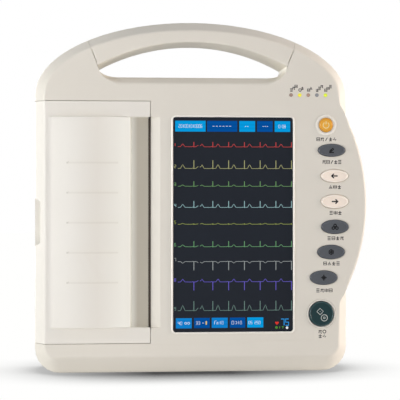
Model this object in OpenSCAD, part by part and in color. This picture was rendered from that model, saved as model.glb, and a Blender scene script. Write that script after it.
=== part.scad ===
// Portable twelve-lead electrocardiograph with a carry handle, a colour screen,
// a wing of keys on the right and a thermal printer behind a sliding door on the left.
// X runs across the front from left to right, Y from the front into the depth and Z up.
// The origin is the centre of the flat base that the casing stands on.

/* [Casing] */
// Width of the casing, without the key wing
body_w = 327; // [320:1:400]
// Height at which the arched top begins
side_h = 289; // [286:1:350]
// Rise of the arched top above the sides
arch_rise = 76.7; // [63:0.1:93]
// Depth of the casing
body_d = 84; // [83:1:102]
// Thickness of the casing walls
wall = 2.8; // [2.3:0.1:3.4]
// Distance of the joint between the two casings behind the front face
joint_depth = 36; // [35:0.5:43.5]
// Width of the sloped band round the front face
band_w = 10; // [8:0.5:12]
// Depth of the sloped band round the front face
band_d = 16; // [13:0.5:19.5]
// Height of the sloped band along the foot of the front face
foot_band_h = 17.5; // [14:0.5:21]
// Radius of the bottom corners of the front face
face_corner_r = 13; // [10:0.5:16]
// Radius of the bottom corners of the sides
corner_r = 26; // [21.5:0.5:31.5]
// Width of the sloped band round the rear face
rear_band_w = 10; // [8:0.5:12]
// Depth of the sloped band round the rear face
rear_band_d = 12; // [10:0.5:15]
// Height of the top of the rear face
rear_face_h = 300; // [288:1:320]
// Rise of the arched top of the rear face
rear_arch_rise = 47; // [39:1:57]

/* [Handle] */
// Thickness of the grip at the top of the arch
grip_t = 22.3; // [18.6:0.1:26.8]
// Half width of the hand gap
gap_hw = 98; // [82:0.5:105]
// Height of the gap's lower edge above the sides
gap_rise = 18.3; // [15:0.1:22]
// Width and height of the rounded lower corners of the gap
gap_corner = [20, 10]; // [8:0.5:26]
// Height of the upright edge at each end of the gap
gap_edge = 1.8; // [1:0.1:3]
// Height and depth of the slope that leads into the gap from the front
gap_slope = [7, 8]; // [5:0.5:10]
// Sideways lean of the seam beside the grip, for each unit of height
seam_lean = 0.375; // [0.3:0.01:0.45]

/* [Key wing] */
// How far the key wing stands out past the side
wing_out = 18.9; // [15:0.1:22]
// Radius of the key wing's edge
wing_r = 201; // [180:1:220]
// Height of the key wing's middle
wing_z = 176.5; // [170:0.5:185]
// Depth of the key wing
wing_d = 26; // [21:0.5:29]

/* [Printer door] */
// Width of the door, from the side of the casing to its right edge
door_w = 119.2; // [116:0.1:124]
// Height of the door's frame above and below the paper window
door_rail = 16.2; // [15:0.1:19]
// Height of the middle of the printer
printer_z = 157; // [155:0.5:165]
// Thickness of the door
door_t = 2.5; // [2.2:0.1:3]
// Distance from the side of the casing to the domed panel
dome_x = 14.9; // [13:0.1:17]
// Width of the domed panel
dome_w = 83.4; // [76:0.1:86]
// Height of the domed panel
dome_h = 8; // [6.5:0.1:10]
// How far the ledge beside the slot lies behind the front face
ledge_d = 4; // [3.5:0.1:4.5]
// Width of the paper slot
slot_w = 2.6; // [2:0.1:3.2]
// Width and depth of the sloped tear edge right of the slot
tear_edge = [9.8, 6]; // [5:0.1:11]
// Width, height and number of the ribs on the domed panel
ribs = [56, 0.8, 5]; // [0.5:0.1:60]
// Distance between the ribs
rib_pitch = 30.8; // [26:0.1:36]
// Travel of the door
door_travel = 75; // [65:1:80]
// Height of the finger notch
notch_h = 49; // [41:0.5:58]
// Width of the finger notch
notch_w = 6; // [5:0.1:7]

/* [Paper and roller] */
// Width of the paper
paper_w = 216; // [210:1:218]
// Diameter of a full roll
roll_d = 50; // [42:0.5:51]
// Outside diameter of the card core
core_d = 17; // [15:0.5:20]
// Thickness of the card core
core_t = 2; // [1.6:0.1:2.4]
// Place of the roll's axis: from the side of the casing, and from the middle of the depth
roll_at = [78.5, 8.5]; // [5:0.1:80]
// Diameter of the rubber roller
roller_d = 16; // [14:0.1:17]
// Place of the roller's axis: left of the slot edge, and behind the front face
roller_at = [9.7, 16.5]; // [8:0.1:18]
// Diameter of the roller's shaft
shaft_d = 6; // [5:0.1:7]
// Gear module
gear_m = 0.6; // [0.5:0.05:0.62]
// Teeth of the roller gear, the idler and the motor pinion
gear_teeth = [24, 28, 14]; // [12:1:30]
// Width of the gears
gear_w = 4.5; // [3.6:0.1:5.4]
// Diameter and height of the stepper motor
motor_size = [35, 15.5]; // [12:0.5:36]

/* [Screen] */
// Width of the visible screen
lcd_w = 125.4; // [120:0.1:128]
// Height of the visible screen
lcd_h = 223; // [200:0.5:226]
// Height of the screen's lower edge
lcd_z = 43; // [40:0.5:48]
// Distance from the tear edge to the screen
lcd_gap = 12.9; // [12:0.1:14]
// Overlap of the screen's glass behind the casing
glass_lap = 6.3; // [5:0.1:6.5]
// Thickness of the glass
glass_t = 1.8; // [1.5:0.1:2.2]
// Thickness of the screen module
panel_t = 5; // [4:0.1:5.5]
// Lip of casing left in front of the glass
lip_t = 1.2; // [1:0.1:1.5]

/* [Keys] */
// Each oval key: distance in from the side, height, width and height of the oval
setup_at = [18.5, 231.9, 28.7, 12.9]; // [5:0.1:260]
previous_at = [15.5, 205.1, 28.8, 13.4]; // [5:0.1:260]
next_at = [15.2, 178.4, 29, 14.4]; // [5:0.1:260]
record_at = [14.9, 152, 29, 14.4]; // [5:0.1:260]
freeze_at = [19, 125.7, 29, 14.6]; // [5:0.1:260]
mark_at = [26.8, 99, 29, 14.6]; // [5:0.1:260]
// Power key: distance in from the side, height and diameter
power_at = [24.4, 258.3, 14.5]; // [5:0.1:270]
// Outside diameter of the collar round the power key
collar_d = 22.6; // [20:0.1:24]
// Start key: distance in from the side, height and diameter
start_at = [29.2, 61.3, 26]; // [5:0.1:100]
// Diameter of the dish round the start key
dish_d = 30.8; // [29.5:0.1:33]
// Travel of the keys
key_travel = 1.2; // [1:0.1:1.5]
// How far the keys stand out
key_proud = 1.2; // [0.8:0.1:1.8]

/* [Lamps] */
// Diameter of the light pipes
led_d = 3.8; // [3.1:0.1:4.6]
// Distance between the light pipes
led_pitch = 9.05; // [8:0.05:10.8]
// First light pipe: distance in from the side, and height
led_at = [61.1, 289.4]; // [50:0.1:300]

/* [Sockets] */
// Distance of the sockets' row behind the joint of the two case halves
socket_behind = 16; // [14:0.5:18]
// Heights of the patient socket, the two data sockets, the network socket, the mains switch and the mains inlet
patient_z = 216; // [210:1:222]
data_z = [139, 157]; // [136:1:160]
network_z = 118; // [116:1:120]
switch_z = 93; // [90:1:96]
inlet_z = 60; // [50:1:62]
// Earth post: height, diameter and length
earth_post = [176, 6, 13]; // [5:0.1:178]

/* [Battery] */
// Width, thickness and height of the battery pack
battery_size = [94, 22, 74]; // [18:0.5:100]
// Middle of the battery pack: across and up
battery_at = [26, 190]; // [20:0.5:200]

/* [Feet and screws] */
// Diameter and height of the rubber feet on the rear
foot_size = [16, 3]; // [2:0.1:20]
// Diameter of the casing screws
screw_d = 4; // [3.3:0.1:4.8]
// Diameter of the small screws
small_screw_d = 3; // [2.5:0.1:3.4]

/* [Clearances] */
// Gap between the door and the casing
door_gap = 0.4; // [0.3:0.05:0.5]
// Gap round the keys
key_gap = 0.35; // [0.3:0.05:0.5]
// Gap beside the grip
seam_gap = 0.3; // [0.2:0.05:0.4]
// Gap between pieces that are dropped into their places
seat_gap = 0.3; // [0.2:0.05:0.4]
// Radial gap of a running shaft
run_gap = 0.05; // [0.02:0.01:0.08]

/* [Hidden] */

skin = 0.01;
past = 5;
lead = 1;
round_fn = 48;
arch_steps = 36;
corner_steps = 6;

yf = -body_d / 2;
yj = yf + joint_depth;
socket_y = yj + socket_behind;
yr = body_d / 2;
hw = body_w / 2;
total_h = side_h + arch_rise;
face_hw = hw - band_w;
rear_hw = hw - rear_band_w;
y_inner = yf + wall;
y_mid = yr - rear_band_d;
mid_h = total_h + (rear_face_h - total_h) * (y_mid - yj) / (yr - yj);

gap_z = side_h + gap_rise;
gap_top = total_h - grip_t;
gap_end_z = gap_z + gap_corner[1];

wing_x = hw + wing_out - wing_r;

slot_x = -hw + door_w;
window_h = paper_w + 1.6;
window_z = [printer_z - window_h / 2, printer_z + window_h / 2];
door_z = [window_z[0] - door_rail, window_z[1] + door_rail];
dome_x0 = -hw + dome_x;
dome_x1 = dome_x0 + dome_w;
dome_mid = (dome_x0 + dome_x1) / 2;
dome_r = (dome_w * dome_w / 4 + dome_h * dome_h) / (2 * dome_h);
tear_x0 = slot_x + 0.7;
tear_x1 = tear_x0 + tear_edge[0];
ledge_x1 = tear_x0 - slot_w;
ledge_y = yf + ledge_d;
door_back = yj - 6;
door_wall_back = door_back - 4;

roller_x = slot_x - roller_at[0];
roller_y = yf + roller_at[1];
roller_r = roller_d / 2;
roll_x = -hw + roll_at[0];
roll_y = roll_at[1];
roll_r = roll_d / 2;
bay_h = paper_w + 6;
bay_z = [printer_z - bay_h / 2, printer_z + bay_h / 2];
plate_t = 1.5;
ear_t = 1.2;
gear_z = bay_z[0] - 9;
gear_r = [for (n = gear_teeth) gear_m * n / 2];
idler_x = roller_x + gear_r[0] + gear_r[1];
pinion_y = roller_y + gear_r[1] + gear_r[2];
head_face_x = roller_x + roller_r + seat_gap;
head_t = 1.2;
sink_x = [head_face_x + head_t, head_face_x + head_t + 7.5];
sink_y = [yf + 9.5, yf + 28];
pivot_x = sink_x[1] + 1;
pivot_y = sink_y[1] + 2;
web_x = sink_x[1] + 8;

lcd_x0 = tear_x1 + lcd_gap;
lcd_x1 = lcd_x0 + lcd_w;
lcd_z1 = lcd_z + lcd_h;
glass_y = yf + lip_t;
gasket_y = glass_y + glass_t;
panel_y = gasket_y + 0.8;
panel_back = panel_y + panel_t;
bracket_t = 1.2;
main_board_y = panel_back + 11;

OVALS = [setup_at, previous_at, next_at, record_at, freeze_at, mark_at];
key_flange = 1.6;
flange_y = y_inner + seat_gap;
flange_t = 1.2;
stem_back = flange_y + flange_t + 1.1;
dome_front = stem_back + key_travel + 0.4;
key_board_y = dome_front + 2;
board_t = 1.6;

// Casing screws as [across, up]
case_screws_at = [[-hw + 23, 17], [20, 20], [hw - 20, 21],
    [-hw + 23, side_h + 12], [10, side_h - 2], [hw - 23, side_h + 13]];
grip_screw_x = gap_hw + 15;
grip_screw_z = total_h - 37;
// Small bosses as [across, up] for the screen's bracket and for the key board
bracket_bosses = [for (x = [lcd_x0 + 6, lcd_x1 - 4.5]) for (z = [lcd_z - 11.5, lcd_z1 + 11.5]) [x, z]];
board_bosses = [[hw - 41.5, 243], [hw - 41.5, 165], [hw - 41.5, 83], [hw - 12.5, 82.5], [hw - 11, 245.5]];
feet_at = [for (x = [-1, 1]) for (z = [38, 222]) [x * (rear_hw - 28), z]];

// ---- Outlines, drawn across and up ----

function arch(w, z, rise) = [for (i = [0:arch_steps]) let (a = 180 * i / arch_steps)
    [w * cos(a), z + rise * sin(a)]];

function corner(x, z, rx, rz, start) = [for (i = [0:corner_steps]) let (a = start + 90 * i / corner_steps)
    [x + rx * cos(a), z + rz * sin(a)]];

function arched(w, foot, z, rise, r) = concat(arch(w, z, rise),
    corner(-w + r, foot + r, r, r, 180), corner(w - r, foot + r, r, r, 270));

function gap_outline(foot, rx, top, grow) = let (
        w = gap_hw + grow, end = gap_end_z, rz = end - foot, s = top + grow - end - gap_edge,
        r = (w * w + s * s) / (2 * s), a = asin(w / r))
    concat(corner(-w + rx, end, rx, rz + grow, 180), corner(w - rx, end, rx, rz + grow, 270),
        [for (i = [0:arch_steps]) let (b = a - 2 * a * i / arch_steps) [r * sin(b), top + grow - r + r * cos(b)]]);

function rounded(x, z, r) = concat(
    corner(x[0] + r, z[0] + r, r, r, 180), corner(x[1] - r, z[0] + r, r, r, 270),
    corner(x[1] - r, z[1] - r, r, r, 0), corner(x[0] + r, z[1] - r, r, r, 90));

function oval(w, h) = [for (i = [0:47]) [w / 2 * cos(i * 7.5), h / 2 * sin(i * 7.5)]];

// ---- Placing ----

// Gives an outline drawn across and up its depth
module deep(y0, y1) {
    translate([0, y1, 0]) rotate([90, 0, 0]) linear_extrude(y1 - y0) children();
}

// Gives an outline drawn across and into the depth its height
module tall(z0, z1) {
    translate([0, 0, z0]) linear_extrude(z1 - z0) children();
}

module box(x, y, z) {
    translate([x[0], y[0], z[0]]) cube([x[1] - x[0], y[1] - y[0], z[1] - z[0]]);
}

module rod_x(x, y, z, r) {
    translate([x[0], y, z]) rotate([0, 90, 0]) cylinder(r = r, h = x[1] - x[0], $fn = round_fn);
}

module rod_y(x, y, z, r) {
    translate([x, y[1], z]) rotate([90, 0, 0]) cylinder(r = r, h = y[1] - y[0], $fn = round_fn);
}

module rod_z(x, y, z, r) {
    translate([x, y, z[0]]) cylinder(r = r, h = z[1] - z[0], $fn = round_fn);
}

// Repeats a piece at the foot of the printer, mirrored, at its head
module both_ends() {
    children();
    translate([0, 0, 2 * printer_z]) mirror([0, 0, 1]) children();
}

// ---- Forms of the casing ----

// Front half of the casing, drawn in by t
module front_form(t = 0) {
    hull() {
        deep(yf + t, yf + t + skin)
            polygon(arched(face_hw - t, foot_band_h + t, side_h, arch_rise - band_w - t, face_corner_r - t));
        deep(yf + band_d, yj)
            polygon(arched(hw - t, t, side_h, arch_rise - t, corner_r - t));
    }
}

// Rear half of the casing, drawn in by t
module rear_form(t = 0) {
    hull() {
        deep(yj, yj + skin)
            polygon(arched(hw - t, t, side_h, arch_rise - t, corner_r - t));
        deep(y_mid - skin, y_mid)
            polygon(arched(hw - t, t, mid_h - rear_arch_rise, rear_arch_rise - t, corner_r - t));
        deep(yr - t - skin, yr - t)
            polygon(arched(rear_hw - t, rear_band_w + t, rear_face_h - rear_arch_rise, rear_arch_rise - t,
                face_corner_r - t));
    }
}

// Both halves of the casing in one form, drawn in by t
module whole_form(t = 0) {
    hull() {
        deep(yf + t, yf + t + skin)
            polygon(arched(face_hw - t, foot_band_h + t, side_h, arch_rise - band_w - t, face_corner_r - t));
        deep(yf + band_d, yj)
            polygon(arched(hw - t, t, side_h, arch_rise - t, corner_r - t));
        deep(y_mid - skin, y_mid)
            polygon(arched(hw - t, t, mid_h - rear_arch_rise, rear_arch_rise - t, corner_r - t));
    }
}

// Round disc of the key wing, drawn in by t
module wing_form(t = 0) {
    intersection() {
        rod_y(wing_x, [yf + t, yf + wing_d - t], wing_z, wing_r - t);
        box([hw - 50, wing_x + wing_r + past], [yf - past, yf + wing_d + past], [0, total_h]);
    }
}

// Hand gap through the whole depth
module gap_form(grow = 0) {
    deep(yf - past, yr + past)
        polygon(gap_outline(gap_z, gap_corner[0], gap_top, grow));
}

// Slope that leads from the front face into the hand gap
module gap_slope_form(grow = 0) {
    hull() {
        deep(yf - lead, yf)
            polygon(gap_outline(gap_z - gap_slope[0], gap_corner[0] + 6, gap_top + 1.7, grow));
        deep(yf + gap_slope[1], yf + gap_slope[1] + lead)
            polygon(gap_outline(gap_z, gap_corner[0], gap_top, grow));
    }
}

// Zone of the arch that the grip fills, drawn in by t at its two seams
module grip_zone(t = 0) {
    deep(yf - past, yr + past) polygon([
        [-gap_hw + t, gap_end_z], [gap_hw - t, gap_end_z],
        [gap_hw - t + seam_lean * (total_h + past - gap_end_z), total_h + past],
        [-gap_hw + t - seam_lean * (total_h + past - gap_end_z), total_h + past]]);
}

// ---- Casing ----

screw_r = screw_d / 2;
post_r = screw_r + 3.5;
head_r = screw_r + 2;
head_y = yj + 20;
screw_tip = yj - 16;

module front_case() {
    color("#DAD6CA")
    difference() {
        union() {
            difference() {
                union() { front_form(); wing_form(); }
                difference() {
                    union() { front_form(wall); wing_form(wall); }
                    gap_form(wall);
                    gap_slope_form(wall);
                }
            }
            intersection() {
                front_form();
                union() {
                    for (p = case_screws_at) rod_y(p[0], [yf, yj], p[1], post_r);
                    for (s = [-1, 1]) rod_y(s * grip_screw_x, [yf, yj - 20], grip_screw_z, post_r);
                }
            }
            for (p = bracket_bosses) rod_y(p[0], [yf + 1, panel_back - skin], p[1], small_screw_d / 2 + 1.8);
            for (p = board_bosses) rod_y(p[0], [yf + 1, key_board_y - skin], p[1], small_screw_d / 2 + 1.6);
            // Frame of the tear edge, and the rims above and below the door
            tall(window_z[0] - door_t, window_z[1] + door_t) polygon([
                [tear_x1 + 3, yf + 0.5], [tear_x0, yf + 0.5], [tear_x0, yf + tear_edge[1] + 2.5],
                [tear_x0 + 2, yf + tear_edge[1] + 2.5], [tear_x1 + 3, y_inner]]);
            for (z = [door_z[0] - wall - door_gap, door_z[1] + door_gap])
                box([-hw + band_w, slot_x + door_gap], [yf + 1, yf + 8], [z, z + wall]);
            // Bead round the screen
            deep(yf - 0.4, yf + 1) polygon(rounded([lcd_x0 - 1.6, lcd_x1 + 1.6], [lcd_z - 1.6, lcd_z1 + 1.6], 4.6));
            // Guards round the wells of the keys
            rod_y(hw - power_at[0], [yf + 1, flange_y - seat_gap + skin], power_at[1], collar_d / 2 + 1.5);
            rod_y(hw - start_at[0], [yf + 1, flange_y - seat_gap + skin], start_at[1], dish_d / 2);
        }
        gap_form();
        gap_slope_form();
        grip_zone(-seam_gap);
        door_opening();
        // Screen, its glass and the seat of the glass
        deep(yf - past, y_inner + past) polygon(rounded([lcd_x0, lcd_x1], [lcd_z, lcd_z1], 3));
        box([lcd_x0 - glass_lap - seat_gap, lcd_x1 + glass_lap + seat_gap], [glass_y, y_inner + skin],
            [lcd_z - glass_lap - seat_gap, lcd_z1 + glass_lap + seat_gap]);
        // Keys
        for (k = OVALS) translate([hw - k[0], 0, k[1]])
            deep(yf - past, y_inner + 2) polygon(oval(k[2] + 2 * key_gap, k[3] + 2 * key_gap));
        rod_y(hw - power_at[0], [yf - past, y_inner + 2], power_at[1], power_at[2] / 2 + key_gap);
        rod_y(hw - power_at[0], [yf - past, yf + 1.5], power_at[1], collar_d / 2);
        rod_y(hw - start_at[0], [yf - past, y_inner + 2], start_at[1], start_at[2] / 2 + key_gap);
        rod_y(hw - start_at[0], [yf - past, yf + 0.8], start_at[1], dish_d / 2);
        // Light pipes
        for (i = [0:4]) rod_y(hw - led_at[0] + i * led_pitch, [yf - past, y_inner + 1], led_at[1], led_d / 2);
        // Screw holes
        for (p = case_screws_at) rod_y(p[0], [screw_tip, yj + 1], p[1], screw_r);
        for (s = [-1, 1]) rod_y(s * grip_screw_x, [yj - 29, yj + 1], grip_screw_z, screw_r);
        for (p = bracket_bosses) rod_y(p[0], [yf + 3.5, panel_back + 1], p[1], small_screw_d / 2);
        for (p = board_bosses) rod_y(p[0], [yf + 3.5, key_board_y + 1], p[1], small_screw_d / 2);
    }
}

// Opening of the door, with the slope of the tear edge
module door_opening() {
    z = [door_z[0] - door_gap, door_z[1] + door_gap];
    box([-hw - past, slot_x + door_gap], [yf - past, yf + band_d + 4], [z[0], window_z[0] - door_t]);
    box([-hw - past, slot_x + door_gap], [yf - past, yf + band_d + 4], [window_z[1] + door_t, z[1]]);
    box([-hw - past, tear_x0], [yf - past, yf + band_d + 4], [window_z[0] - door_t - skin, window_z[1] + door_t + skin]);
    box([-hw - past, -hw + 20], [yf - past, door_back + door_gap], z);
    tall(window_z[0], window_z[1]) polygon([
        [tear_x0 - 6, yf - past], [tear_x1 + past * tear_edge[0] / tear_edge[1], yf - past],
        [tear_x0, yf + tear_edge[1]], [tear_x0 - 6, yf + tear_edge[1]]]);
}

well_x = [battery_at[0] - battery_size[0] / 2 - 1, battery_at[0] + battery_size[0] / 2 + 1];
well_z = [battery_at[1] - battery_size[2] / 2 - 1, battery_at[1] + battery_size[2] / 2 + 1];
cover_t = 2.4;
well_floor = yr - cover_t - battery_size[1] - 0.5;
speaker_at = [hw - 50, 205];
switch_cut = [20, 13];
inlet_cut = [28, 20.4];
earth_neck_r = earth_post[1] / 2 - 0.5;
socket_back = hw - 15;

module rear_case() {
    color("#D6D2C6")
    difference() {
        union() {
            difference() {
                rear_form();
                difference() {
                    rear_form(wall);
                    gap_form(wall);
                }
            }
            intersection() {
                rear_form();
                union() {
                    for (p = case_screws_at) rod_y(p[0], [yj, yr], p[1], post_r);
                    for (s = [-1, 1]) rod_y(s * grip_screw_x, [yj, yr], grip_screw_z, post_r);
                }
            }
            box([well_x[0] - 2, well_x[1] + 2], [well_floor - 2, yr - 1], [well_z[0] - 2, well_z[1] + 2]);
            // Pads that carry the printer's chassis
            intersection() {
                rear_form();
                for (x = [roll_x - 25, web_x - 3]) for (z = bay_z)
                    box([x - 5, x + 5], [yr - 7, yr], [z - 5, z + 5]);
            }
            // Rails that carry the power supply
            for (x = [4, 114]) box([x - 2, x + 2], [yr - 10, yr - 1], [28, 112]);
        }
        gap_form();
        grip_zone(-seam_gap);
        box(well_x, [well_floor, yr + 1], well_z);
        box([well_x[0] - 3, well_x[1] + 3], [yr - cover_t, yr + 1], [well_z[0] - 3, well_z[1] + 3]);
        for (p = case_screws_at) {
            rod_y(p[0], [yj - 1, yr + past], p[1], screw_r + 0.2);
            rod_y(p[0], [head_y - 3, yr + past], p[1], head_r + 0.3);
        }
        for (s = [-1, 1]) {
            rod_y(s * grip_screw_x, [yj - 1, yr + past], grip_screw_z, screw_r + 0.2);
            rod_y(s * grip_screw_x, [yj + 3, yr + past], grip_screw_z, head_r + 0.3);
        }
        // Speaker slots
        for (i = [-3:3]) box([speaker_at[0] - 12, speaker_at[0] + 12], [yr - 4, yr + 1],
            [speaker_at[1] + i * 5 - 1, speaker_at[1] + i * 5 + 1]);
        // Air slots over the power supply
        for (i = [0:7]) box([36 + i * 8, 39 + i * 8], [yr - 4, yr + 1], [40, 80]);
        // Sockets in the right side
        side_cut(patient_z, [54, 14], 0);
        for (z = data_z) side_cut(z, [14.6, 7.4], 0);
        side_cut(network_z, [17, 14.4], 0);
        side_cut(switch_z, switch_cut, 0.3);
        side_cut(inlet_z, inlet_cut, 0.3);
        rod_x([hw - wall - 1, hw + past], socket_y, earth_post[0], earth_neck_r + 0.2);
    }
}

// Cut through the right side wall, up by across
module side_cut(z, size, grow) {
    box([hw - wall - 1, hw + past], [socket_y - size[1] / 2 - grow, socket_y + size[1] / 2 + grow],
        [z - size[0] / 2 - grow, z + size[0] / 2 + grow]);
}

tongue_x = [gap_hw + 3, gap_hw + 22];
tongue_y = [yj - 19.7, yj - 0.3];
tongue_z = [grip_screw_z - 7, grip_screw_z + 5.5];

module handle_grip() {
    color("#D2CDC1")
    difference() {
        union() {
            intersection() { whole_form(); grip_zone(); }
            // Tongues that reach into the casing, one at each end
            for (s = [-1, 1])
                box(s > 0 ? [tongue_x[0], tongue_x[1]] : [-tongue_x[1], -tongue_x[0]], tongue_y, tongue_z);
        }
        gap_form();
        for (s = [-1, 1]) rod_y(s * grip_screw_x, [yj - 30, yj + 10], grip_screw_z, screw_r + 0.2);
    }
}

module handle_screws() {
    color("#B8BABD")
    for (s = [-1, 1]) {
        rod_y(s * grip_screw_x, [yj - 28, yj + 3], grip_screw_z, screw_r - 0.1);
        pan_head(s * grip_screw_x, yj + 3, grip_screw_z);
    }
}

module case_screws() {
    color("#B8BABD")
    for (p = case_screws_at) {
        rod_y(p[0], [screw_tip + 1, head_y - 3], p[1], screw_r - 0.1);
        pan_head(p[0], head_y - 3, p[1]);
    }
}

// Head of a casing screw with a cross recess
module pan_head(x, y, z) {
    difference() {
        rod_y(x, [y, y + 2.6], z, head_r);
        box([x - 2.2, x + 2.2], [y + 1, y + past], [z - 0.5, z + 0.5]);
        box([x - 0.5, x + 0.5], [y + 1, y + past], [z - 2.2, z + 2.2]);
    }
}

module rear_feet() {
    color("#4A4B4D")
    for (p = feet_at) difference() {
        rod_y(p[0], [yr, yr + foot_size[1]], p[1], foot_size[0] / 2);
        rod_y(p[0], [yr + foot_size[1] - 1, yr + foot_size[1] + 1], p[1], foot_size[0] / 4);
    }
}

// ---- Printer door ----

// Section of the door's flat frame, drawn in by t
function door_section(t) = let (k = t * 0.55) [
    [-hw + t, door_back + (t > 0 ? 1 : 0)], [-hw + t, yf + band_d + k], [-hw + band_w + k, yf + t],
    [slot_x + (t > 0 ? 1 : 0), yf + t], [slot_x + (t > 0 ? 1 : 0), door_back + (t > 0 ? 1 : 0)]];

// Sector under the domed panel, drawn in by t
module dome_section(t) {
    intersection() {
        translate([dome_mid, yf - dome_h + dome_r]) circle(r = dome_r - t, $fn = 180);
        translate([dome_x0 + t, yf - dome_h - past]) square([dome_w - 2 * t, dome_h + past + door_t + t]);
    }
}

module printer_door() {
    color("#E4DFD3")
    difference() {
        union() {
            difference() {
                tall(door_z[0], door_z[1]) polygon(door_section(0));
                tall(door_z[0] - 1, door_z[1] + 1) polygon(door_section(door_t));
                box([dome_x0 + 1, slot_x + 1], [yf - 1, yf + door_t + 1], window_z);
            }
            // End walls
            for (z = [door_z[0], door_z[1] - door_t])
                tall(z, z + door_t) polygon([[-hw + door_t, yf + band_d - door_t], [-hw + band_w, yf + 1],
                    [slot_x - 1.9, yf + 1], [slot_x - 1.9, door_wall_back], [-hw + door_t, door_wall_back]]);
            // Domed panel with its ribs and closed ends
            difference() {
                tall(window_z[0] - skin, window_z[1] + skin) dome_section(0);
                tall(window_z[0] + door_t, window_z[1] - door_t) dome_section(door_t);
            }
            for (i = [0:ribs[2] - 1]) let (z = printer_z + (i - (ribs[2] - 1) / 2) * rib_pitch)
                tall(z - 0.6, z + 0.6) intersection() {
                    translate([dome_mid, yf - dome_h + dome_r]) difference() {
                        circle(r = dome_r + ribs[1], $fn = 180);
                        circle(r = dome_r - 1, $fn = 180);
                    }
                    translate([dome_x0 + 20, yf - dome_h - past]) square([ribs[0], dome_h + past]);
                }
            // Ledge beside the paper slot, and the small walls at its ends
            tall(window_z[0] - skin, window_z[1] + skin) polygon([
                [dome_x1 - door_t, yf + door_t / 2], [dome_x1, yf], [dome_x1 + 1.5, ledge_y], [ledge_x1, ledge_y],
                [ledge_x1, ledge_y + door_t], [dome_x1 - door_t, ledge_y + door_t]]);
            for (z = [window_z[0] - door_t, window_z[1]])
                box([dome_x1 - door_t, ledge_x1], [yf + 1, ledge_y + door_t], [z, z + door_t]);
            // Floor of the finger notch, in front of the latch's edge
            box([-hw + 1, latch_x - 0.5], [yf + band_d + 6, yf + band_d + 8],
                [printer_z - notch_h / 2 - 2, printer_z + notch_h / 2 + 2]);
            // Rib behind the latch
            box([latch_x + 9, latch_x + 11], [yf + 1, door_wall_back],
                [printer_z - notch_h / 2, printer_z + notch_h / 2]);
        }
        // Finger notch in the left slope, with slanted ends
        deep(yf - 1, yf + band_d + 6) polygon([
            [-hw - 1, printer_z - notch_h / 2 - 1], [-hw + notch_w, printer_z - notch_h / 2 + 3],
            [-hw + notch_w, printer_z + notch_h / 2 - 3], [-hw - 1, printer_z + notch_h / 2 + 1]]);
    }
}

latch_x = -hw + notch_w + 0.6;
latch_travel = 3;

module door_latch() {
    color("#C9C4B8")
    union() {
        box([latch_x, latch_x + 2], [yf + 14.5, door_wall_back],
            [printer_z - notch_h / 2 + 3, printer_z + notch_h / 2 - 3]);
        box([latch_x, latch_x + 4], [door_wall_back - 6, door_back], [printer_z - 8, printer_z + 8]);
    }
}

module latch_spring() {
    color("#C8CACD")
    difference() {
        rod_x([latch_x + 2, latch_x + 9], yf + 17.1, printer_z, 2.2);
        rod_x([latch_x + 1, latch_x + 10], yf + 17.1, printer_z, 1.5);
    }
}

runner_x = [-hw + 8, slot_x - 8];
runner_y = [door_wall_back - 8, door_back - 0.5];
runner_t = 1.2;

module door_runners() {
    color("#B4B8BB")
    both_ends() box(runner_x, runner_y, [door_z[0] + door_t, door_z[0] + door_t + runner_t]);
}

guide_x = [-hw + 13, slot_x - 18];
guide_y = [door_wall_back + 0.4, yj];

module door_guides() {
    z = door_z[0] + door_t;
    color("#E9E7E0")
    both_ends() difference() {
        box(guide_x, guide_y, [z - 1.8, bay_z[0] - plate_t]);
        box([guide_x[0] - 1, guide_x[1] + 1], [guide_y[0] - 1, runner_y[1] + seat_gap],
            [z - seat_gap, z + runner_t + seat_gap]);
    }
}

// ---- Roller, gears and motor ----

bush_r = shaft_d / 2 + 1.5;
bracket_z = bay_z[0] - ear_t;

module platen_bracket() {
    color("#B9BDC0")
    difference() {
        union() {
            box([roller_x - roller_r, ledge_x1 - 0.3], [ledge_y + door_t, ledge_y + door_t + 0.9],
                [bracket_z, 2 * printer_z - bracket_z]);
            both_ends() box([roller_x - roller_r - 2, ledge_x1 - 0.3], [ledge_y + door_t, roller_y + roller_r],
                [bracket_z, bracket_z + ear_t]);
        }
        both_ends() rod_z(roller_x, roller_y, [bracket_z - 1, bracket_z + ear_t + 1], bush_r);
    }
}

module platen_bushes() {
    color("#C9A85C")
    both_ends() difference() {
        union() {
            rod_z(roller_x, roller_y, [bracket_z, bracket_z + ear_t], bush_r);
            rod_z(roller_x, roller_y, [bracket_z - 0.8, bracket_z], bush_r + 0.8);
        }
        rod_z(roller_x, roller_y, [bracket_z - 2, bracket_z + ear_t + 1], shaft_d / 2 + run_gap);
    }
}

module platen_shaft() {
    color("#C4C7CA")
    difference() {
        rod_z(roller_x, roller_y, [gear_z - 0.5, 2 * printer_z - bracket_z + 2], shaft_d / 2);
        // Flat under the gear
        box([roller_x + shaft_d / 2 - 0.5, roller_x + shaft_d], [roller_y - shaft_d, roller_y + shaft_d],
            [gear_z - 1, gear_z + gear_w]);
    }
}

module platen_rubber() {
    color("#2E3033")
    difference() {
        rod_z(roller_x, roller_y, [printer_z - paper_w / 2 - 0.5, printer_z + paper_w / 2 + 0.5], roller_r);
        rod_z(roller_x, roller_y, [printer_z - paper_w, printer_z + paper_w], shaft_d / 2);
    }
}

// Outline of a gear with straight-sided teeth, one tooth pointing at angle turn
function gear_outline(n, turn) = let (
        p = 360 / n, tip = gear_m * (n / 2 + 0.75), root = gear_m * (n / 2 - 1.2),
        side = [-0.27, -0.1, 0.1, 0.27], reach = [root, tip, tip, root])
    [for (i = [0:n - 1]) for (k = [0:3]) let (a = turn + (i + side[k]) * p) [reach[k] * cos(a), reach[k] * sin(a)]];

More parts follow.
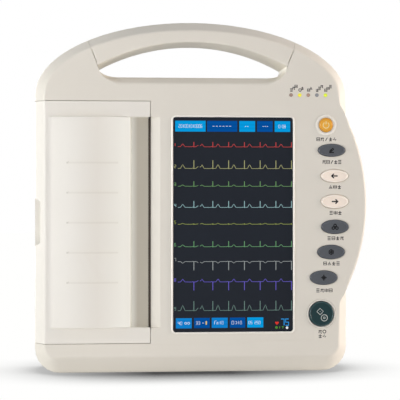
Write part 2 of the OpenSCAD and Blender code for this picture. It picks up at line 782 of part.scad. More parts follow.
module gear(x, y, n, turn) {
    translate([x, y, 0]) tall(gear_z, gear_z + gear_w) polygon(gear_outline(n, turn));
}

idler_turn = 180 + 180 / gear_teeth[1];
idler_lean = (90 - idler_turn) * gear_teeth[1] / 360;
pinion_turn = 270 + (idler_lean - round(idler_lean) + 0.5) * 360 / gear_teeth[2];

module platen_gear() {
    color("#EDEBE4")
    difference() {
        gear(roller_x, roller_y, gear_teeth[0], 0);
        difference() {
            rod_z(roller_x, roller_y, [gear_z - 1, gear_z + gear_w + 1], shaft_d / 2);
            box([roller_x + shaft_d / 2 - 0.5, roller_x + shaft_d], [roller_y - shaft_d, roller_y + shaft_d],
                [gear_z - 2, gear_z + gear_w + 2]);
        }
    }
}

pin_r = 2;

module idler_gear() {
    color("#EDEBE4")
    difference() {
        gear(idler_x, roller_y, gear_teeth[1], idler_turn);
        rod_z(idler_x, roller_y, [gear_z - 1, gear_z + gear_w + 1], pin_r + run_gap);
    }
}

module idler_pin() {
    color("#C4C7CA")
    union() {
        rod_z(idler_x, roller_y, [gear_z - 1.5, bay_z[0] - plate_t], pin_r);
        rod_z(idler_x, roller_y, [gear_z - 1.5, gear_z - 0.5], pin_r + 1.2);
        rod_z(idler_x, roller_y, [gear_z + gear_w + 0.3, bay_z[0] - plate_t], pin_r + 1.2);
    }
}

motor_r = motor_size[0] / 2;
motor_plate_z = gear_z - 7.5;
motor_shaft_r = 1.5;

module motor_pinion() {
    color("#D9C27E")
    union() {
        gear(idler_x, pinion_y, gear_teeth[2], pinion_turn);
        rod_z(idler_x, pinion_y, [motor_plate_z - motor_size[1] + 3, gear_z + gear_w + 0.5], motor_shaft_r);
    }
}

module stepper_motor() {
    color("#8E9295")
    difference() {
        union() {
            rod_z(idler_x, pinion_y, [motor_plate_z - motor_size[1], motor_plate_z], motor_r);
            rod_z(idler_x, pinion_y, [motor_plate_z, motor_plate_z + 2.5], 4);
            box([idler_x - 8, idler_x + 8], [pinion_y + motor_r - 2, pinion_y + motor_r + 4],
                [motor_plate_z - motor_size[1] + 2, motor_plate_z - 4]);
        }
        rod_z(idler_x, pinion_y, [motor_plate_z - motor_size[1] + 2.5, motor_plate_z + 5], motor_shaft_r + run_gap);
    }
}

// ---- Printer's frame, paper and head ----

tray_r = roll_r + 2;
tray_back = roll_y + tray_r + plate_t;
journal_r = 3;
head_pin_r = 1.5;
fork_front = roller_y + roller_r + 2.3;

module printer_chassis() {
    color("#AEB3B6")
    difference() {
        union() {
            both_ends() {
                box([-hw + 13, web_x + plate_t], [fork_front, fork_front + 15], [bay_z[0] - plate_t, bay_z[0]]);
                box([roll_x - tray_r - 3, web_x + plate_t], [fork_front, yr - 7], [bay_z[0] - plate_t, bay_z[0]]);
                box([ledge_x1 + 1.8, web_x + plate_t], [yf + 9, fork_front + 1], [bay_z[0] - plate_t, bay_z[0]]);
            }
            box([web_x, web_x + plate_t], [yf + 9, yr - 7], [motor_plate_z, 2 * printer_z - bay_z[0] + plate_t]);
            box([idler_x - 3, web_x + plate_t], [roller_y - 8, pinion_y - 4], [motor_plate_z, motor_plate_z + plate_t]);
            box([idler_x - motor_r, web_x + plate_t], [pinion_y - 5, pinion_y + motor_r],
                [motor_plate_z, motor_plate_z + plate_t]);
        }
        // Forks that the spindle's ends drop into
        both_ends() {
            rod_z(roll_x, roll_y, [bay_z[0] - 3, bay_z[0] + 1], journal_r + run_gap);
            box([roll_x - journal_r - run_gap, roll_x + journal_r + run_gap], [fork_front - 1, roll_y],
                [bay_z[0] - 3, bay_z[0] + 1]);
            rod_z(pivot_x, pivot_y, [bay_z[0] - 3, bay_z[0] + 1], head_pin_r);
        }
        rod_z(idler_x, roller_y, [bay_z[0] - 3, bay_z[0] + 1], pin_r);
        rod_z(idler_x, pinion_y, [motor_plate_z - 1, motor_plate_z + 3], 4);
    }
}

module paper_tray() {
    color("#C8C6BF")
    tall(bay_z[0], bay_z[1]) difference() {
        union() {
            translate([roll_x, roll_y]) circle(r = tray_r + plate_t, $fn = round_fn);
            translate([roll_x - tray_r - plate_t, fork_front + 0.2])
                square([2 * (tray_r + plate_t), roll_y - fork_front - 0.2]);
        }
        translate([roll_x, roll_y]) circle(r = tray_r, $fn = round_fn);
        translate([roll_x - tray_r, fork_front - 1]) square([2 * tray_r, roll_y - fork_front + 1]);
        translate([roll_x - 2 * tray_r, fork_front - 60]) square([4 * tray_r, 60.2]);
    }
}

core_r = core_d / 2;
spindle_r = core_r - core_t;
roll_z = [printer_z - paper_w / 2, printer_z + paper_w / 2];

module paper_roll() {
    color("#F4F2EE")
    difference() {
        rod_z(roll_x, roll_y, roll_z, roll_r);
        rod_z(roll_x, roll_y, [roll_z[0] - 1, roll_z[1] + 1], core_r);
    }
}

module paper_core() {
    color("#B99B6B")
    difference() {
        rod_z(roll_x, roll_y, roll_z, core_r);
        rod_z(roll_x, roll_y, [roll_z[0] - 1, roll_z[1] + 1], spindle_r);
    }
}

module roll_spindle() {
    color("#D8D6CE")
    union() {
        rod_z(roll_x, roll_y, roll_z, spindle_r);
        both_ends() {
            rod_z(roll_x, roll_y, [bay_z[0] + 1, roll_z[0]], core_r + 5);
            rod_z(roll_x, roll_y, [bay_z[0] - plate_t - 1, bay_z[0] + 1.2], journal_r);
        }
    }
}

module print_head() {
    color("#E8E4DA")
    union() {
        box([head_face_x, sink_x[0]], [roller_y - 6, roller_y + 8], roll_z);
        box([head_face_x - 0.15, head_face_x], [roller_y - 0.6, roller_y + 0.6], [roll_z[0] + 2, roll_z[1] - 2]);
    }
}

module head_heatsink() {
    color("#9DA2A6")
    difference() {
        union() {
            box(sink_x, sink_y, [bay_z[0] + 0.5, bay_z[1] - 0.5]);
            both_ends() rod_z(pivot_x, pivot_y, [bay_z[0] + 14, bay_z[0] + 24], head_pin_r + 1.8);
            both_ends() box([sink_x[0] + 1, pivot_x], [sink_y[1] - 3, pivot_y], [bay_z[0] + 14, bay_z[0] + 24]);
        }
        for (i = [0:3]) box([sink_x[1] - 3, sink_x[1] + 1], [sink_y[0] + 1.5 + i * 2.4, sink_y[0] + 2.7 + i * 2.4],
            [bay_z[0], bay_z[1]]);
        both_ends() rod_z(pivot_x, pivot_y, [bay_z[0] + 10, bay_z[0] + 30], head_pin_r + run_gap);
    }
}

module head_pivot_pin() {
    color("#C4C7CA")
    rod_z(pivot_x, pivot_y, [bay_z[0] - plate_t, bay_z[1] + plate_t], head_pin_r);
}

module head_springs() {
    color("#C8CACD")
    for (z = [-70, 0, 70]) difference() {
        rod_x([sink_x[1] + 0.9, web_x], roller_y + 5, printer_z + z, 2.5);
        rod_x([sink_x[1], web_x + 1], roller_y + 5, printer_z + z, 1.8);
    }
}

// ---- Screen ----

glass_x = [lcd_x0 - glass_lap, lcd_x1 + glass_lap];
glass_z = [lcd_z - glass_lap, lcd_z1 + glass_lap];

module screen_glass() {
    color("#23272F")
    box(glass_x, [glass_y, gasket_y], glass_z);
}

module glass_gasket() {
    color("#1C1D1F")
    difference() {
        box([glass_x[0] + 1, glass_x[1] - 1], [gasket_y, panel_y], [glass_z[0] + 1, glass_z[1] - 1]);
        box([lcd_x0, lcd_x1], [gasket_y - 1, panel_y + 1], [lcd_z, lcd_z1]);
    }
}

panel_x = [lcd_x0 - 5.3, lcd_x1 + 5.3];
panel_z = [lcd_z - 3.3, lcd_z1 + 3.3];

module screen_panel() {
    color("#9A9DA0")
    box(panel_x, [panel_y, panel_back], panel_z);
}

module screen_bracket() {
    y = [panel_back, panel_back + bracket_t];
    color("#B9BDC0")
    difference() {
        union() {
            difference() {
                box(panel_x, y, panel_z);
                box([panel_x[0] + 25, panel_x[1] - 25], [y[0] - 1, y[1] + 1], [panel_z[0] + 50, panel_z[1] - 50]);
            }
            for (p = bracket_bosses) box([p[0] - 5, p[0] + 5], y,
                p[1] < printer_z ? [p[1] - 5, panel_z[0] + 1] : [panel_z[1] - 1, p[1] + 5]);
            for (p = board_posts) rod_y(p[0], [y[0], main_board_y], p[1], 3);
        }
        for (p = bracket_bosses) rod_y(p[0], [y[0] - 1, y[1] + 1], p[1], small_screw_d / 2 + 0.2);
        for (p = board_posts) rod_y(p[0], [y[1], main_board_y + 1], p[1], small_screw_d / 2);
    }
}

board_posts = [for (x = [panel_x[0] + 12, panel_x[1] - 12]) for (z = [panel_z[0] + 25, panel_z[1] - 25]) [x, z]];

module inner_screws() {
    y = panel_back + bracket_t;
    color("#B8BABD")
    union() {
        for (p = bracket_bosses) small_screw(p, yf + 4.5, y);
        for (p = board_bosses) small_screw(p, yf + 4.5, key_board_y + board_t);
        for (p = board_posts) small_screw(p, y + 1, main_board_y + board_t);
    }
}

// Small screw from its tip to the underside of its head
module small_screw(p, tip, seat) {
    rod_y(p[0], [tip, seat], p[1], small_screw_d / 2 - 0.05);
    difference() {
        rod_y(p[0], [seat, seat + 1.8], p[1], small_screw_d);
        box([p[0] - 1.5, p[0] + 1.5], [seat + 0.8, seat + 3], [p[1] - 0.35, p[1] + 0.35]);
    }
}

// ---- Lamps and keys ----

module light_pipes() {
    color("#E8E2C8")
    for (i = [0:4]) rod_y(hw - led_at[0] + i * led_pitch, [yf - 0.4, key_board_y - 2.6], led_at[1], led_d / 2);
}

module led_lamps() {
    color("#F2E9A0")
    for (i = [0:4]) rod_y(hw - led_at[0] + i * led_pitch, [key_board_y - 2.3, key_board_y], led_at[1], led_d / 2 - 0.4);
}

mat_z = [start_at[1] - 16, power_at[1] + 12];
board_x = [hw - 47, hw - 10];
KEY_SPOTS = concat([for (k = OVALS) [hw - k[0], k[1]]],
    [[hw - power_at[0], power_at[1]], [hw - start_at[0], start_at[1]]]);

module key_mat() {
    color("#4B4E52")
    difference() {
        union() {
            box([board_x[0] + 1, board_x[1]], [key_board_y - 1, key_board_y], mat_z);
            for (p = KEY_SPOTS) rod_y(p[0], [dome_front, key_board_y], p[1], 4);
        }
        for (p = KEY_SPOTS) rod_y(p[0], [dome_front + 0.8, key_board_y + 1], p[1], 3);
        for (p = board_bosses) rod_y(p[0], [key_board_y - 2, key_board_y + 1], p[1], small_screw_d / 2 + 2);
    }
}

module key_board() {
    y = [key_board_y, key_board_y + board_t];
    color("#2F6B45")
    difference() {
        union() {
            box([board_x[0], board_x[1]], y, [mat_z[0], led_at[1] + 4]);
            box([hw - led_at[0] - 5, board_x[1]], y, [led_at[1] - 4.5, led_at[1] + 4]);
            box([board_x[0] + 4, board_x[0] + 22], [y[1], y[1] + 5], [110, 116]);
        }
        for (p = board_bosses) rod_y(p[0], [y[0] - 1, y[1] + 1], p[1], small_screw_d / 2 + 0.2);
    }
}

// Oval key with a dished face, a flange that holds it in the casing and a stem
module oval_key(k) {
    translate([hw - k[0], 0, k[1]]) difference() {
        union() {
            deep(yf - key_proud, flange_y + skin) polygon(oval(k[2], k[3]));
            deep(flange_y, flange_y + flange_t) polygon(oval(k[2] + 2 * key_flange, k[3] + 2 * key_flange));
            rod_y(0, [flange_y, stem_back], 0, 3);
        }
        deep(yf - key_proud - 1, yf - key_proud + 0.4) polygon(oval(k[2] - 4, k[3] - 4));
    }
}

// Round key with a flange and a stem
module round_key(k) {
    x = hw - k[0];
    difference() {
        union() {
            rod_y(x, [yf - key_proud, flange_y + skin], k[1], k[2] / 2);
            rod_y(x, [flange_y, flange_y + flange_t], k[1], k[2] / 2 + key_flange);
            rod_y(x, [flange_y, stem_back], k[1], 3);
        }
        rod_y(x, [yf - key_proud - 1, yf - key_proud + 0.4], k[1], k[2] / 2 - 1.5);
    }
}

module power_key() { color("#F2B03C") round_key(power_at); }
module setup_key() { color("#505863") oval_key(setup_at); }
module previous_key() { color("#EDDDCF") oval_key(previous_at); }
module next_key() { color("#EDDDCF") oval_key(next_at); }
module record_key() { color("#505863") oval_key(record_at); }
module freeze_key() { color("#505863") oval_key(freeze_at); }
module mark_key() { color("#505863") oval_key(mark_at); }
module start_key() { color("#2E5F4D") round_key(start_at); }

module power_key_collar() {
    color("#E9E5DA")
    difference() {
        rod_y(hw - power_at[0], [yf - 0.6, yf + 1.5], power_at[1], collar_d / 2);
        rod_y(hw - power_at[0], [yf - 1.6, yf + 2.5], power_at[1], power_at[2] / 2 + key_gap);
    }
}

// ---- Boards, supply, battery and speaker ----

module main_board() {
    y = main_board_y + board_t;
    x = [panel_x[0] + 5, panel_x[1] - 5];
    color("#2F6B45")
    difference() {
        union() {
            box(x, [main_board_y, y], [panel_z[0] + 18, panel_z[1] - 18]);
            box([x[0] + 40, x[0] + 68], [y, y + 3], [150, 178]);
            box([x[0] + 78, x[0] + 98], [y, y + 2], [150, 162]);
            box([x[0] + 78, x[0] + 98], [y, y + 2], [168, 180]);
            box([x[0] + 30, x[0] + 90], [y, y + 6], [80, 90]);
            box([x[0] + 20, x[0] + 50], [y, y + 8], [200, 216]);
            for (i = [0:3]) rod_y(x[0] + 24 + i * 12, [y, y + 9], 108, 4);
        }
        for (p = board_posts) rod_y(p[0], [main_board_y - 1, y + 1], p[1], small_screw_d / 2 + 0.2);
    }
}

module power_supply() {
    y = yr - 10;
    color("#3C7A50")
    union() {
        box([2, 116], [y - board_t, y], [28, 112]);
        box([60, 90], [y - board_t - 22, y - board_t], [50, 78]);
        box([8, 20], [y - board_t - 18, y - board_t], [60, 108]);
        for (i = [0:1]) rod_y(38, [y - board_t - 25, y - board_t], 48 + i * 26, 9);
        box([96, 112], [y - board_t - 12, y - board_t], [36, 60]);
    }
}

module battery_pack() {
    x = battery_at[0];
    color("#3E6E9E")
    union() {
        for (i = [-1.5:1.5]) box([x + (i - 0.5) * battery_size[0] / 4 + 0.4, x + (i + 0.5) * battery_size[0] / 4 - 0.4],
            [well_floor, well_floor + battery_size[1]],
            [battery_at[1] - battery_size[2] / 2, battery_at[1] + battery_size[2] / 2]);
        box([x - battery_size[0] / 2 + 2, x + battery_size[0] / 2 - 2], [well_floor + 2, well_floor + battery_size[1] - 2],
            [battery_at[1] - battery_size[2] / 2 + 2, battery_at[1] + battery_size[2] / 2 - 2]);
    }
}

module battery_cover() {
    color("#D6D2C6")
    difference() {
        box([well_x[0] - 3 + seat_gap, well_x[1] + 3 - seat_gap], [yr - cover_t, yr],
            [well_z[0] - 3 + seat_gap, well_z[1] + 3 - seat_gap]);
        for (i = [-2:2]) box([battery_at[0] - 14, battery_at[0] + 14], [yr - 0.8, yr + 1],
            [well_z[1] - 12 + i * 3 - 0.6, well_z[1] - 12 + i * 3 + 0.6]);
    }
}

module speaker() {
    y = yr - wall;
    color("#3A3C3F")
    difference() {
        union() {
            rod_y(speaker_at[0], [y - 4, y], speaker_at[1], 20);
            rod_y(speaker_at[0], [y - 9, y - 4], speaker_at[1], 14);
            rod_y(speaker_at[0], [y - 14, y - 9], speaker_at[1], 10);
        }
        rod_y(speaker_at[0], [y - 3, y + 1], speaker_at[1], 17);
    }
}

// ---- Sockets in the right side ----

// Round hole down a socket, seen from the side
module contact(x, y, z, r) {
    rod_x([x, hw + past], y, z, r);
}

module patient_socket() {
    color("#B9BDC0")
    difference() {
        union() {
            box([hw - 12, hw + 0.6], [socket_y - 6.7, socket_y + 6.7], [patient_z - 26.7, patient_z + 26.7]);
            box([hw, hw + 5.5], [socket_y - 4.2, socket_y + 4.2], [patient_z - 12.5, patient_z + 12.5]);
            for (s = [-1, 1]) rod_x([hw, hw + 4.5], socket_y, patient_z + s * 16.6, 2.6);
        }
        for (s = [-1, 1]) rod_x([hw - 5, hw + past], socket_y, patient_z + s * 16.6, 1.5);
        for (i = [0:7]) contact(hw + 2, socket_y - 1.4, patient_z + (i - 3.5) * 2.77, 0.55);
        for (i = [0:6]) contact(hw + 2, socket_y + 1.4, patient_z + (i - 3) * 2.77, 0.55);
    }
}

module data_sockets() {
    color("#B9BDC0")
    for (z = data_z) union() {
        difference() {
            box([socket_back, hw + 0.3], [socket_y - 3.4, socket_y + 3.4], [z - 7, z + 7]);
            box([socket_back + 1, hw + 1], [socket_y - 2.6, socket_y + 2.6], [z - 6.3, z + 6.3]);
        }
        box([socket_back + 0.5, hw - 1], [socket_y + 0.4, socket_y + 2.2], [z - 5.6, z + 5.6]);
    }
}

module network_socket() {
    color("#B9BDC0")
    difference() {
        box([socket_back, hw + 0.3], [socket_y - 6.9, socket_y + 6.9], [network_z - 8.2, network_z + 8.2]);
        box([socket_back + 2, hw + 1], [socket_y - 3.6, socket_y + 4.6], [network_z - 6, network_z + 6]);
        box([socket_back + 2, hw + 1], [socket_y - 5.4, socket_y], [network_z - 3, network_z + 3]);
    }
}

module mains_inlet() {
    z = inlet_cut[0] / 2;
    y = inlet_cut[1] / 2;
    color("#26282B")
    union() {
        difference() {
            union() {
                box([hw - 22, hw], [socket_y - y, socket_y + y], [inlet_z - z, inlet_z + z]);
                box([hw, hw + 1.8], [socket_y - y - 1.6, socket_y + y + 1.6], [inlet_z - z - 1.6, inlet_z + z + 1.6]);
            }
            box([hw - 15, hw + 3], [socket_y - 8.3, socket_y + 8.3], [inlet_z - 12.3, inlet_z + 12.3]);
        }
        for (p = [[0, 0], [-4, 7], [-4, -7]])
            box([hw - 16, hw - 4], [socket_y + 2 + p[0] - 2, socket_y + 2 + p[0] + 2], [inlet_z + p[1] - 1, inlet_z + p[1] + 1]);
        for (s = [-1, 0, 1]) box([hw - 28, hw - 22], [socket_y - 0.4, socket_y + 0.4], [inlet_z + s * 7 - 2.4, inlet_z + s * 7 + 2.4]);
    }
}

rocker_r = 8;
rocker_x = hw - 5.5;

module switch_frame() {
    z = switch_cut[0] / 2;
    y = switch_cut[1] / 2;
    color("#26282B")
    difference() {
        union() {
            box([hw - 18, hw], [socket_y - y, socket_y + y], [switch_z - z, switch_z + z]);
            box([hw, hw + 1.6], [socket_y - y - 1, socket_y + y + 1], [switch_z - z - 1, switch_z + z + 1]);
            for (s = [-1, 1]) box([hw - 24, hw - 18], [socket_y - 2.4, socket_y + 2.4], [switch_z + s * 5 - 0.4, switch_z + s * 5 + 0.4]);
        }
        box([hw - 15, hw + 3], [socket_y - y + 1.2, socket_y + y - 1.2], [switch_z - z + 1, switch_z + z - 1]);
        rod_y(rocker_x, [socket_y - y + 0.4, socket_y + y - 0.4], switch_z, 1.2 + run_gap);
    }
}

module mains_switch() {
    y = switch_cut[1] / 2 - 1.5;
    pivot = [rocker_x, 0, switch_z];
    color("#1E2023")
    // Two faces meet in a shallow valley over the pivot, the lower one flush at rest
    rotate_about(pivot, 8)
    union() {
        difference() {
            rod_y(rocker_x, [socket_y - y, socket_y + y], switch_z, rocker_r);
            rotate_about(pivot, 8) box([rocker_x + 6, rocker_x + 20], [-past - y + socket_y, y + past + socket_y],
                [switch_z, switch_z + 20]);
            rotate_about(pivot, -8) box([rocker_x + 6, rocker_x + 20], [-past - y + socket_y, y + past + socket_y],
                [switch_z - 20, switch_z]);
        }
        rod_y(rocker_x, [socket_y - y - 0.8, socket_y + y + 0.8], switch_z, 1.2);
    }
}

module rotate_about(point, angle) {
    translate(point) rotate([0, angle, 0]) translate(-point) children();
}

module earth_post() {
    color("#C9A85C")
    union() {
        rod_x([hw + 1, hw + earth_post[2]], socket_y, earth_post[0], earth_post[1] / 2);
        rod_x([hw - 12, hw + 1], socket_y, earth_post[0], earth_neck_r);
        translate([hw - wall - 3, socket_y, earth_post[0]]) rotate([0, 90, 0]) cylinder(r = 5.5, h = 3, $fn = 6);
    }
}

front_case();
rear_case();
handle_grip();
handle_screws();
case_screws();
rear_feet();
printer_door();
door_runners();
door_guides();
door_latch();
latch_spring();
platen_bracket();
platen_bushes();
platen_shaft();
platen_rubber();
platen_gear();
idler_gear();
idler_pin();
motor_pinion();
stepper_motor();
printer_chassis();
paper_tray();
paper_roll();
paper_core();
roll_spindle();
print_head();
head_heatsink();
head_pivot_pin();
head_springs();
screen_glass();
glass_gasket();
screen_panel();
screen_bracket();
inner_screws();
light_pipes();
led_lamps();
key_mat();
key_board();
power_key();
power_key_collar();
setup_key();
previous_key();
next_key();
record_key();
freeze_key();
mark_key();
start_key();
main_board();
power_supply();
battery_pack();
battery_cover();
speaker();
patient_socket();
data_sockets();
network_socket();
mains_inlet();
switch_frame();
mains_switch();
earth_post();
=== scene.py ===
import math

import bmesh
import bpy
from mathutils import Matrix, Vector


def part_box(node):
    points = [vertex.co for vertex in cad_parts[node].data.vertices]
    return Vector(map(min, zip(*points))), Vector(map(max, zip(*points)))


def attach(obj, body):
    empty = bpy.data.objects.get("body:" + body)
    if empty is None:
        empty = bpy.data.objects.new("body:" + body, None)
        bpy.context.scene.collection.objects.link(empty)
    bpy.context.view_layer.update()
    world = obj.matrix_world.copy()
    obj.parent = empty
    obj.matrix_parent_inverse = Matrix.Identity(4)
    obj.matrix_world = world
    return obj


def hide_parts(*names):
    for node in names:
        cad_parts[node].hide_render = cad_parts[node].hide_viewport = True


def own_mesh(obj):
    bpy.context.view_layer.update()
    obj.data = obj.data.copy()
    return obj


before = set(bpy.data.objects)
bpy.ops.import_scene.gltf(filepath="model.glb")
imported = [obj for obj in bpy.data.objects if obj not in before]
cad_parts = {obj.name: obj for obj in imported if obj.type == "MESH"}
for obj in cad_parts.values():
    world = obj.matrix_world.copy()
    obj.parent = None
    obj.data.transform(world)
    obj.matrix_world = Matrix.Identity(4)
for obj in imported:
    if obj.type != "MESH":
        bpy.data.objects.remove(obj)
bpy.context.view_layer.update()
MM = 0.001


# ---- Front casing ----
# One moulding in cream ABS: the flat face, the sloped bands, the key wing and both handle posts.
# The tool was spark eroded, so the skin has a fine even grain, and every outer edge is eased.
def linear(colour):
    """An sRGB hex colour as linear red, green, blue and alpha."""
    parts = [int(colour[i:i + 2], 16) / 255 for i in (0, 2, 4)]
    return tuple(c / 12.92 if c <= 0.04045 else ((c + 0.055) / 1.055) ** 2.4 for c in parts) + (1.0,)


def add_node(tree, kind, values=None, **settings):
    """Adds a shader node with its settings, and sets or links the sockets that values names."""
    made = tree.nodes.new("ShaderNode" + kind)
    for name, value in settings.items():
        setattr(made, name, value)
    for name, value in (values or {}).items():
        if isinstance(value, bpy.types.NodeSocket):
            tree.links.new(value, made.inputs[name])
        else:
            made.inputs[name].default_value = value
    return made


def math_node(tree, operation, *values):
    """The result of one Math node."""
    return add_node(tree, "Math", dict(enumerate(values)), operation=operation).outputs[0]


def mix(tree, share, first, second):
    """The second colour mixed over the first by a share; a colour is a hex code, four numbers or a socket."""
    first, second = (linear(c) if isinstance(c, str) else c for c in (first, second))
    return add_node(tree, "Mix", {0: share, 6: first, 7: second}, data_type="RGBA").outputs[2]


def surface(tree, values):
    """Ends a material in one Principled skin with these inputs."""
    skin = add_node(tree, "BsdfPrincipled", values)
    add_node(tree, "OutputMaterial", {"Surface": skin.outputs["BSDF"]})
    return skin


def darker(colour, share):
    """A hex colour at a share of its own light."""
    return [c * share for c in linear(colour)[:3]] + [1.0]


def new_finish(name):
    """An empty material, its node tree and the Object coordinates that its pattern reads."""
    made = bpy.data.materials.new(name)
    made.use_nodes = True
    made.node_tree.nodes.clear()
    return made, made.node_tree, add_node(made.node_tree, "TexCoord").outputs["Object"]


def moulded(name, colour, faded, roughness, grain, depth, ior=1.53):
    """A moulded plastic: two close tones in soft clouds, and the grain of the tool in millimetres."""
    made, tree, place = new_finish(name)
    cloud = add_node(tree, "TexNoise", {"Vector": place, "Scale": 14.0, "Detail": 4.0, "Roughness": 0.55})
    tone = mix(tree, cloud.outputs["Fac"], colour, faded)
    grit = add_node(tree, "TexNoise", {"Vector": place, "Scale": 1 / (grain * MM), "Detail": 2.0})
    gloss = add_node(tree, "MapRange", {"Value": grit.outputs["Fac"], "From Min": 0.3, "From Max": 0.7,
                                        "To Min": roughness - 0.04, "To Max": roughness + 0.05})
    bump = add_node(tree, "Bump", {"Height": grit.outputs["Fac"], "Strength": 0.35, "Distance": depth * MM})
    surface(tree, {"Base Color": tone, "Roughness": gloss.outputs["Result"],
                   "Normal": bump.outputs["Normal"], "IOR": ior})
    return made


def bench_copy(node):
    """A copy of a CAD piece in millimetres, its triangles merged and its flat faces joined."""
    bm = bmesh.new()
    bm.from_mesh(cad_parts[node].data)
    bmesh.ops.remove_doubles(bm, verts=bm.verts, dist=1e-6)
    bmesh.ops.dissolve_limit(bm, angle_limit=math.radians(0.2), verts=bm.verts, edges=bm.edges)
    bmesh.ops.scale(bm, vec=(1 / MM, 1 / MM, 1 / MM), verts=bm.verts)
    return bm


# An edge is sharp where its faces turn by more than this, in radians.
SHARP = 0.3


def ease(bm, radius, chosen, steps=3):
    """Rounds the sharp outward edges for which chosen says yes, by a radius in millimetres.

    chosen gets an edge's middle and the y of the normals of its two faces, the lower one first.
    """
    bm.normal_update()
    edges = []
    for e in bm.edges:
        if e.is_manifold and e.is_convex and e.calc_face_angle() > SHARP:
            low, high = sorted(f.normal.y for f in e.link_faces)
            if chosen((e.verts[0].co + e.verts[1].co) / 2, low, high):
                edges.append(e)
    bmesh.ops.bevel(bm, geom=edges, offset=radius, offset_type="OFFSET", segments=steps, profile=0.5,
                    affect="EDGES", material=-1, clamp_overlap=False)


def to_piece(bm, name, body, finish, replaced=(), turn=35):
    """Turns a bench mesh into a shown piece in metres that rides on its body."""
    bmesh.ops.scale(bm, vec=(MM, MM, MM), verts=bm.verts)
    bm.normal_update()
    for f in bm.faces:
        f.smooth = True
    for e in bm.edges:
        e.smooth = not (e.is_manifold and e.calc_face_angle() > math.radians(turn))
    mesh = bpy.data.meshes.new(name)
    bm.to_mesh(mesh)
    bm.free()
    for one in finish if isinstance(finish, (list, tuple)) else [finish]:
        mesh.materials.append(one)
    made = bpy.data.objects.new(name, mesh)
    bpy.context.scene.collection.objects.link(made)
    even = made.modifiers.new("even shading", "WEIGHTED_NORMAL")
    even.keep_sharp = True
    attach(made, body)
    if replaced:
        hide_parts(*replaced)
    return made


casing_abs = moulded("cream ABS, spark eroded", "E4DFD2", "DFDACD", 0.5, 0.7, 0.03)
# Depths of the flat face, of the sloped bands' far edge and of the wing's back edge. All sizes from here
# on are in millimetres, unless a line says otherwise.
FACE_Y, BAND_Y, WING_BACK_Y = -42.0, -26.0, -16.0
# The wing's rim lies right of WING_X, on an arc with this middle and radius.
WING_X, WING_MIDDLE, WING_R = 160, (-18.6, 176.5), 201


def near(value, place, slack=0.1):
    return abs(value - place) < slack


def on_face(p):
    return p.y < FACE_Y + 0.1


def on_wing(p):
    return p.x > WING_X and near(math.hypot(p.x - WING_MIDDLE[0], p.z - WING_MIDDLE[1]), WING_R, 0.8)


def fronts(n):
    """True for the normal of a face that looks straight forward."""
    return n < -0.99


def slopes(n, most=0.8):
    """True for the normal of a sloped band in front."""
    return -most < n < -0.4


def walls(n):
    """True for the normal of a wall that runs straight back."""
    return abs(n) < 0.05


bm = bench_copy("front_case")
ease(bm, 3.0, lambda p, low, high: on_face(p) and on_wing(p) and fronts(low) and walls(high))
ease(bm, 2.0, lambda p, low, high: on_face(p) and fronts(low) and slopes(high) and p.x < WING_X)
ease(bm, 2.0, lambda p, low, high: near(p.y, WING_BACK_Y) and on_wing(p) and high > 0.99)
ease(bm, 2.4, lambda p, low, high: near(p.y, BAND_Y) and slopes(low) and walls(high))
ease(bm, 0.35, lambda p, low, high: p.y < FACE_Y - 0.3 and fronts(low) and walls(high), 2)
ease(bm, 0.4, lambda p, low, high: near(p.y, FACE_Y, 0.05) and fronts(low) and walls(high), 2)
to_piece(bm, "front_casing", "base", casing_abs, ["front_case"])


# ---- Rear casing ----
# The back half, from the same tool family: the vents, the speaker grille, the screw wells, the cable
# sockets' windows and the battery well. It turns a little greyer, because its tool was cut less fine.
rear_abs = moulded("cream ABS, rear half", "DFDACE", "D9D4C8", 0.54, 0.8, 0.035)
# Depths of the back and of its sloped bands' near edge, the right wall's place across, and where in
# that wall the sockets' windows lie.
BACK_Y, REAR_BAND_Y, SIDE_X = 42.0, 30.0, 163.5
SOCKETS_Y, SOCKETS_Z = (-5, 22), (40, 250)
bm = bench_copy("rear_case")
ease(bm, 2.0, lambda p, low, high: p.y > BACK_Y - 0.1 and high > 0.99 and 0.4 < low < 0.95)
ease(bm, 2.4, lambda p, low, high: near(p.y, REAR_BAND_Y) and 0.4 < high < 0.8 and walls(low))
ease(bm, 0.4, lambda p, low, high: p.y > BACK_Y - 0.1 and high > 0.99 and walls(low), 2)
ease(bm, 0.4, lambda p, low, high: p.x > SIDE_X - 0.1 and SOCKETS_Y[0] < p.y < SOCKETS_Y[1]
     and SOCKETS_Z[0] < p.z < SOCKETS_Z[1], 2)
to_piece(bm, "rear_casing", "base", rear_abs, ["rear_case"])


# ---- Printer chassis and motor ----
# The chassis is folded from 1.2 mm galvanised sheet, so it shows the zinc's spangle. The stepper
# motor bolts under it, and its can is drawn steel with a thin bright plating.
def metal(name, colour, shade, roughness, size, streak=(1, 1, 1), kind="TexNoise", depth=0.0):
    """A bare or plated metal: two tones and a gloss that follow one pattern, its size in millimetres."""
    made, tree, place = new_finish(name)
    drawn_out = add_node(tree, "Mapping", {"Vector": place, "Scale": streak})
    spread = {"Vector": drawn_out.outputs["Vector"], "Scale": 1 / (size * MM)}
    if kind == "TexVoronoi":
        cells = add_node(tree, kind, spread)
        field = add_node(tree, "SeparateColor", {"Color": cells.outputs["Color"]}).outputs["Red"]
    else:
        field = add_node(tree, kind, {**spread, "Detail": 3.0}).outputs["Fac"]
    tone = mix(tree, field, colour, shade)
    gloss = add_node(tree, "MapRange", {"Value": field, "To Min": roughness - 0.06,
                                        "To Max": roughness + 0.08})
    skin = surface(tree, {"Base Color": tone, "Metallic": 1.0, "Roughness": gloss.outputs["Result"]})
    if depth:
        bump = add_node(tree, "Bump", {"Height": field, "Strength": 0.5, "Distance": depth * MM})
        tree.links.new(bump.outputs["Normal"], skin.inputs["Normal"])
    return made


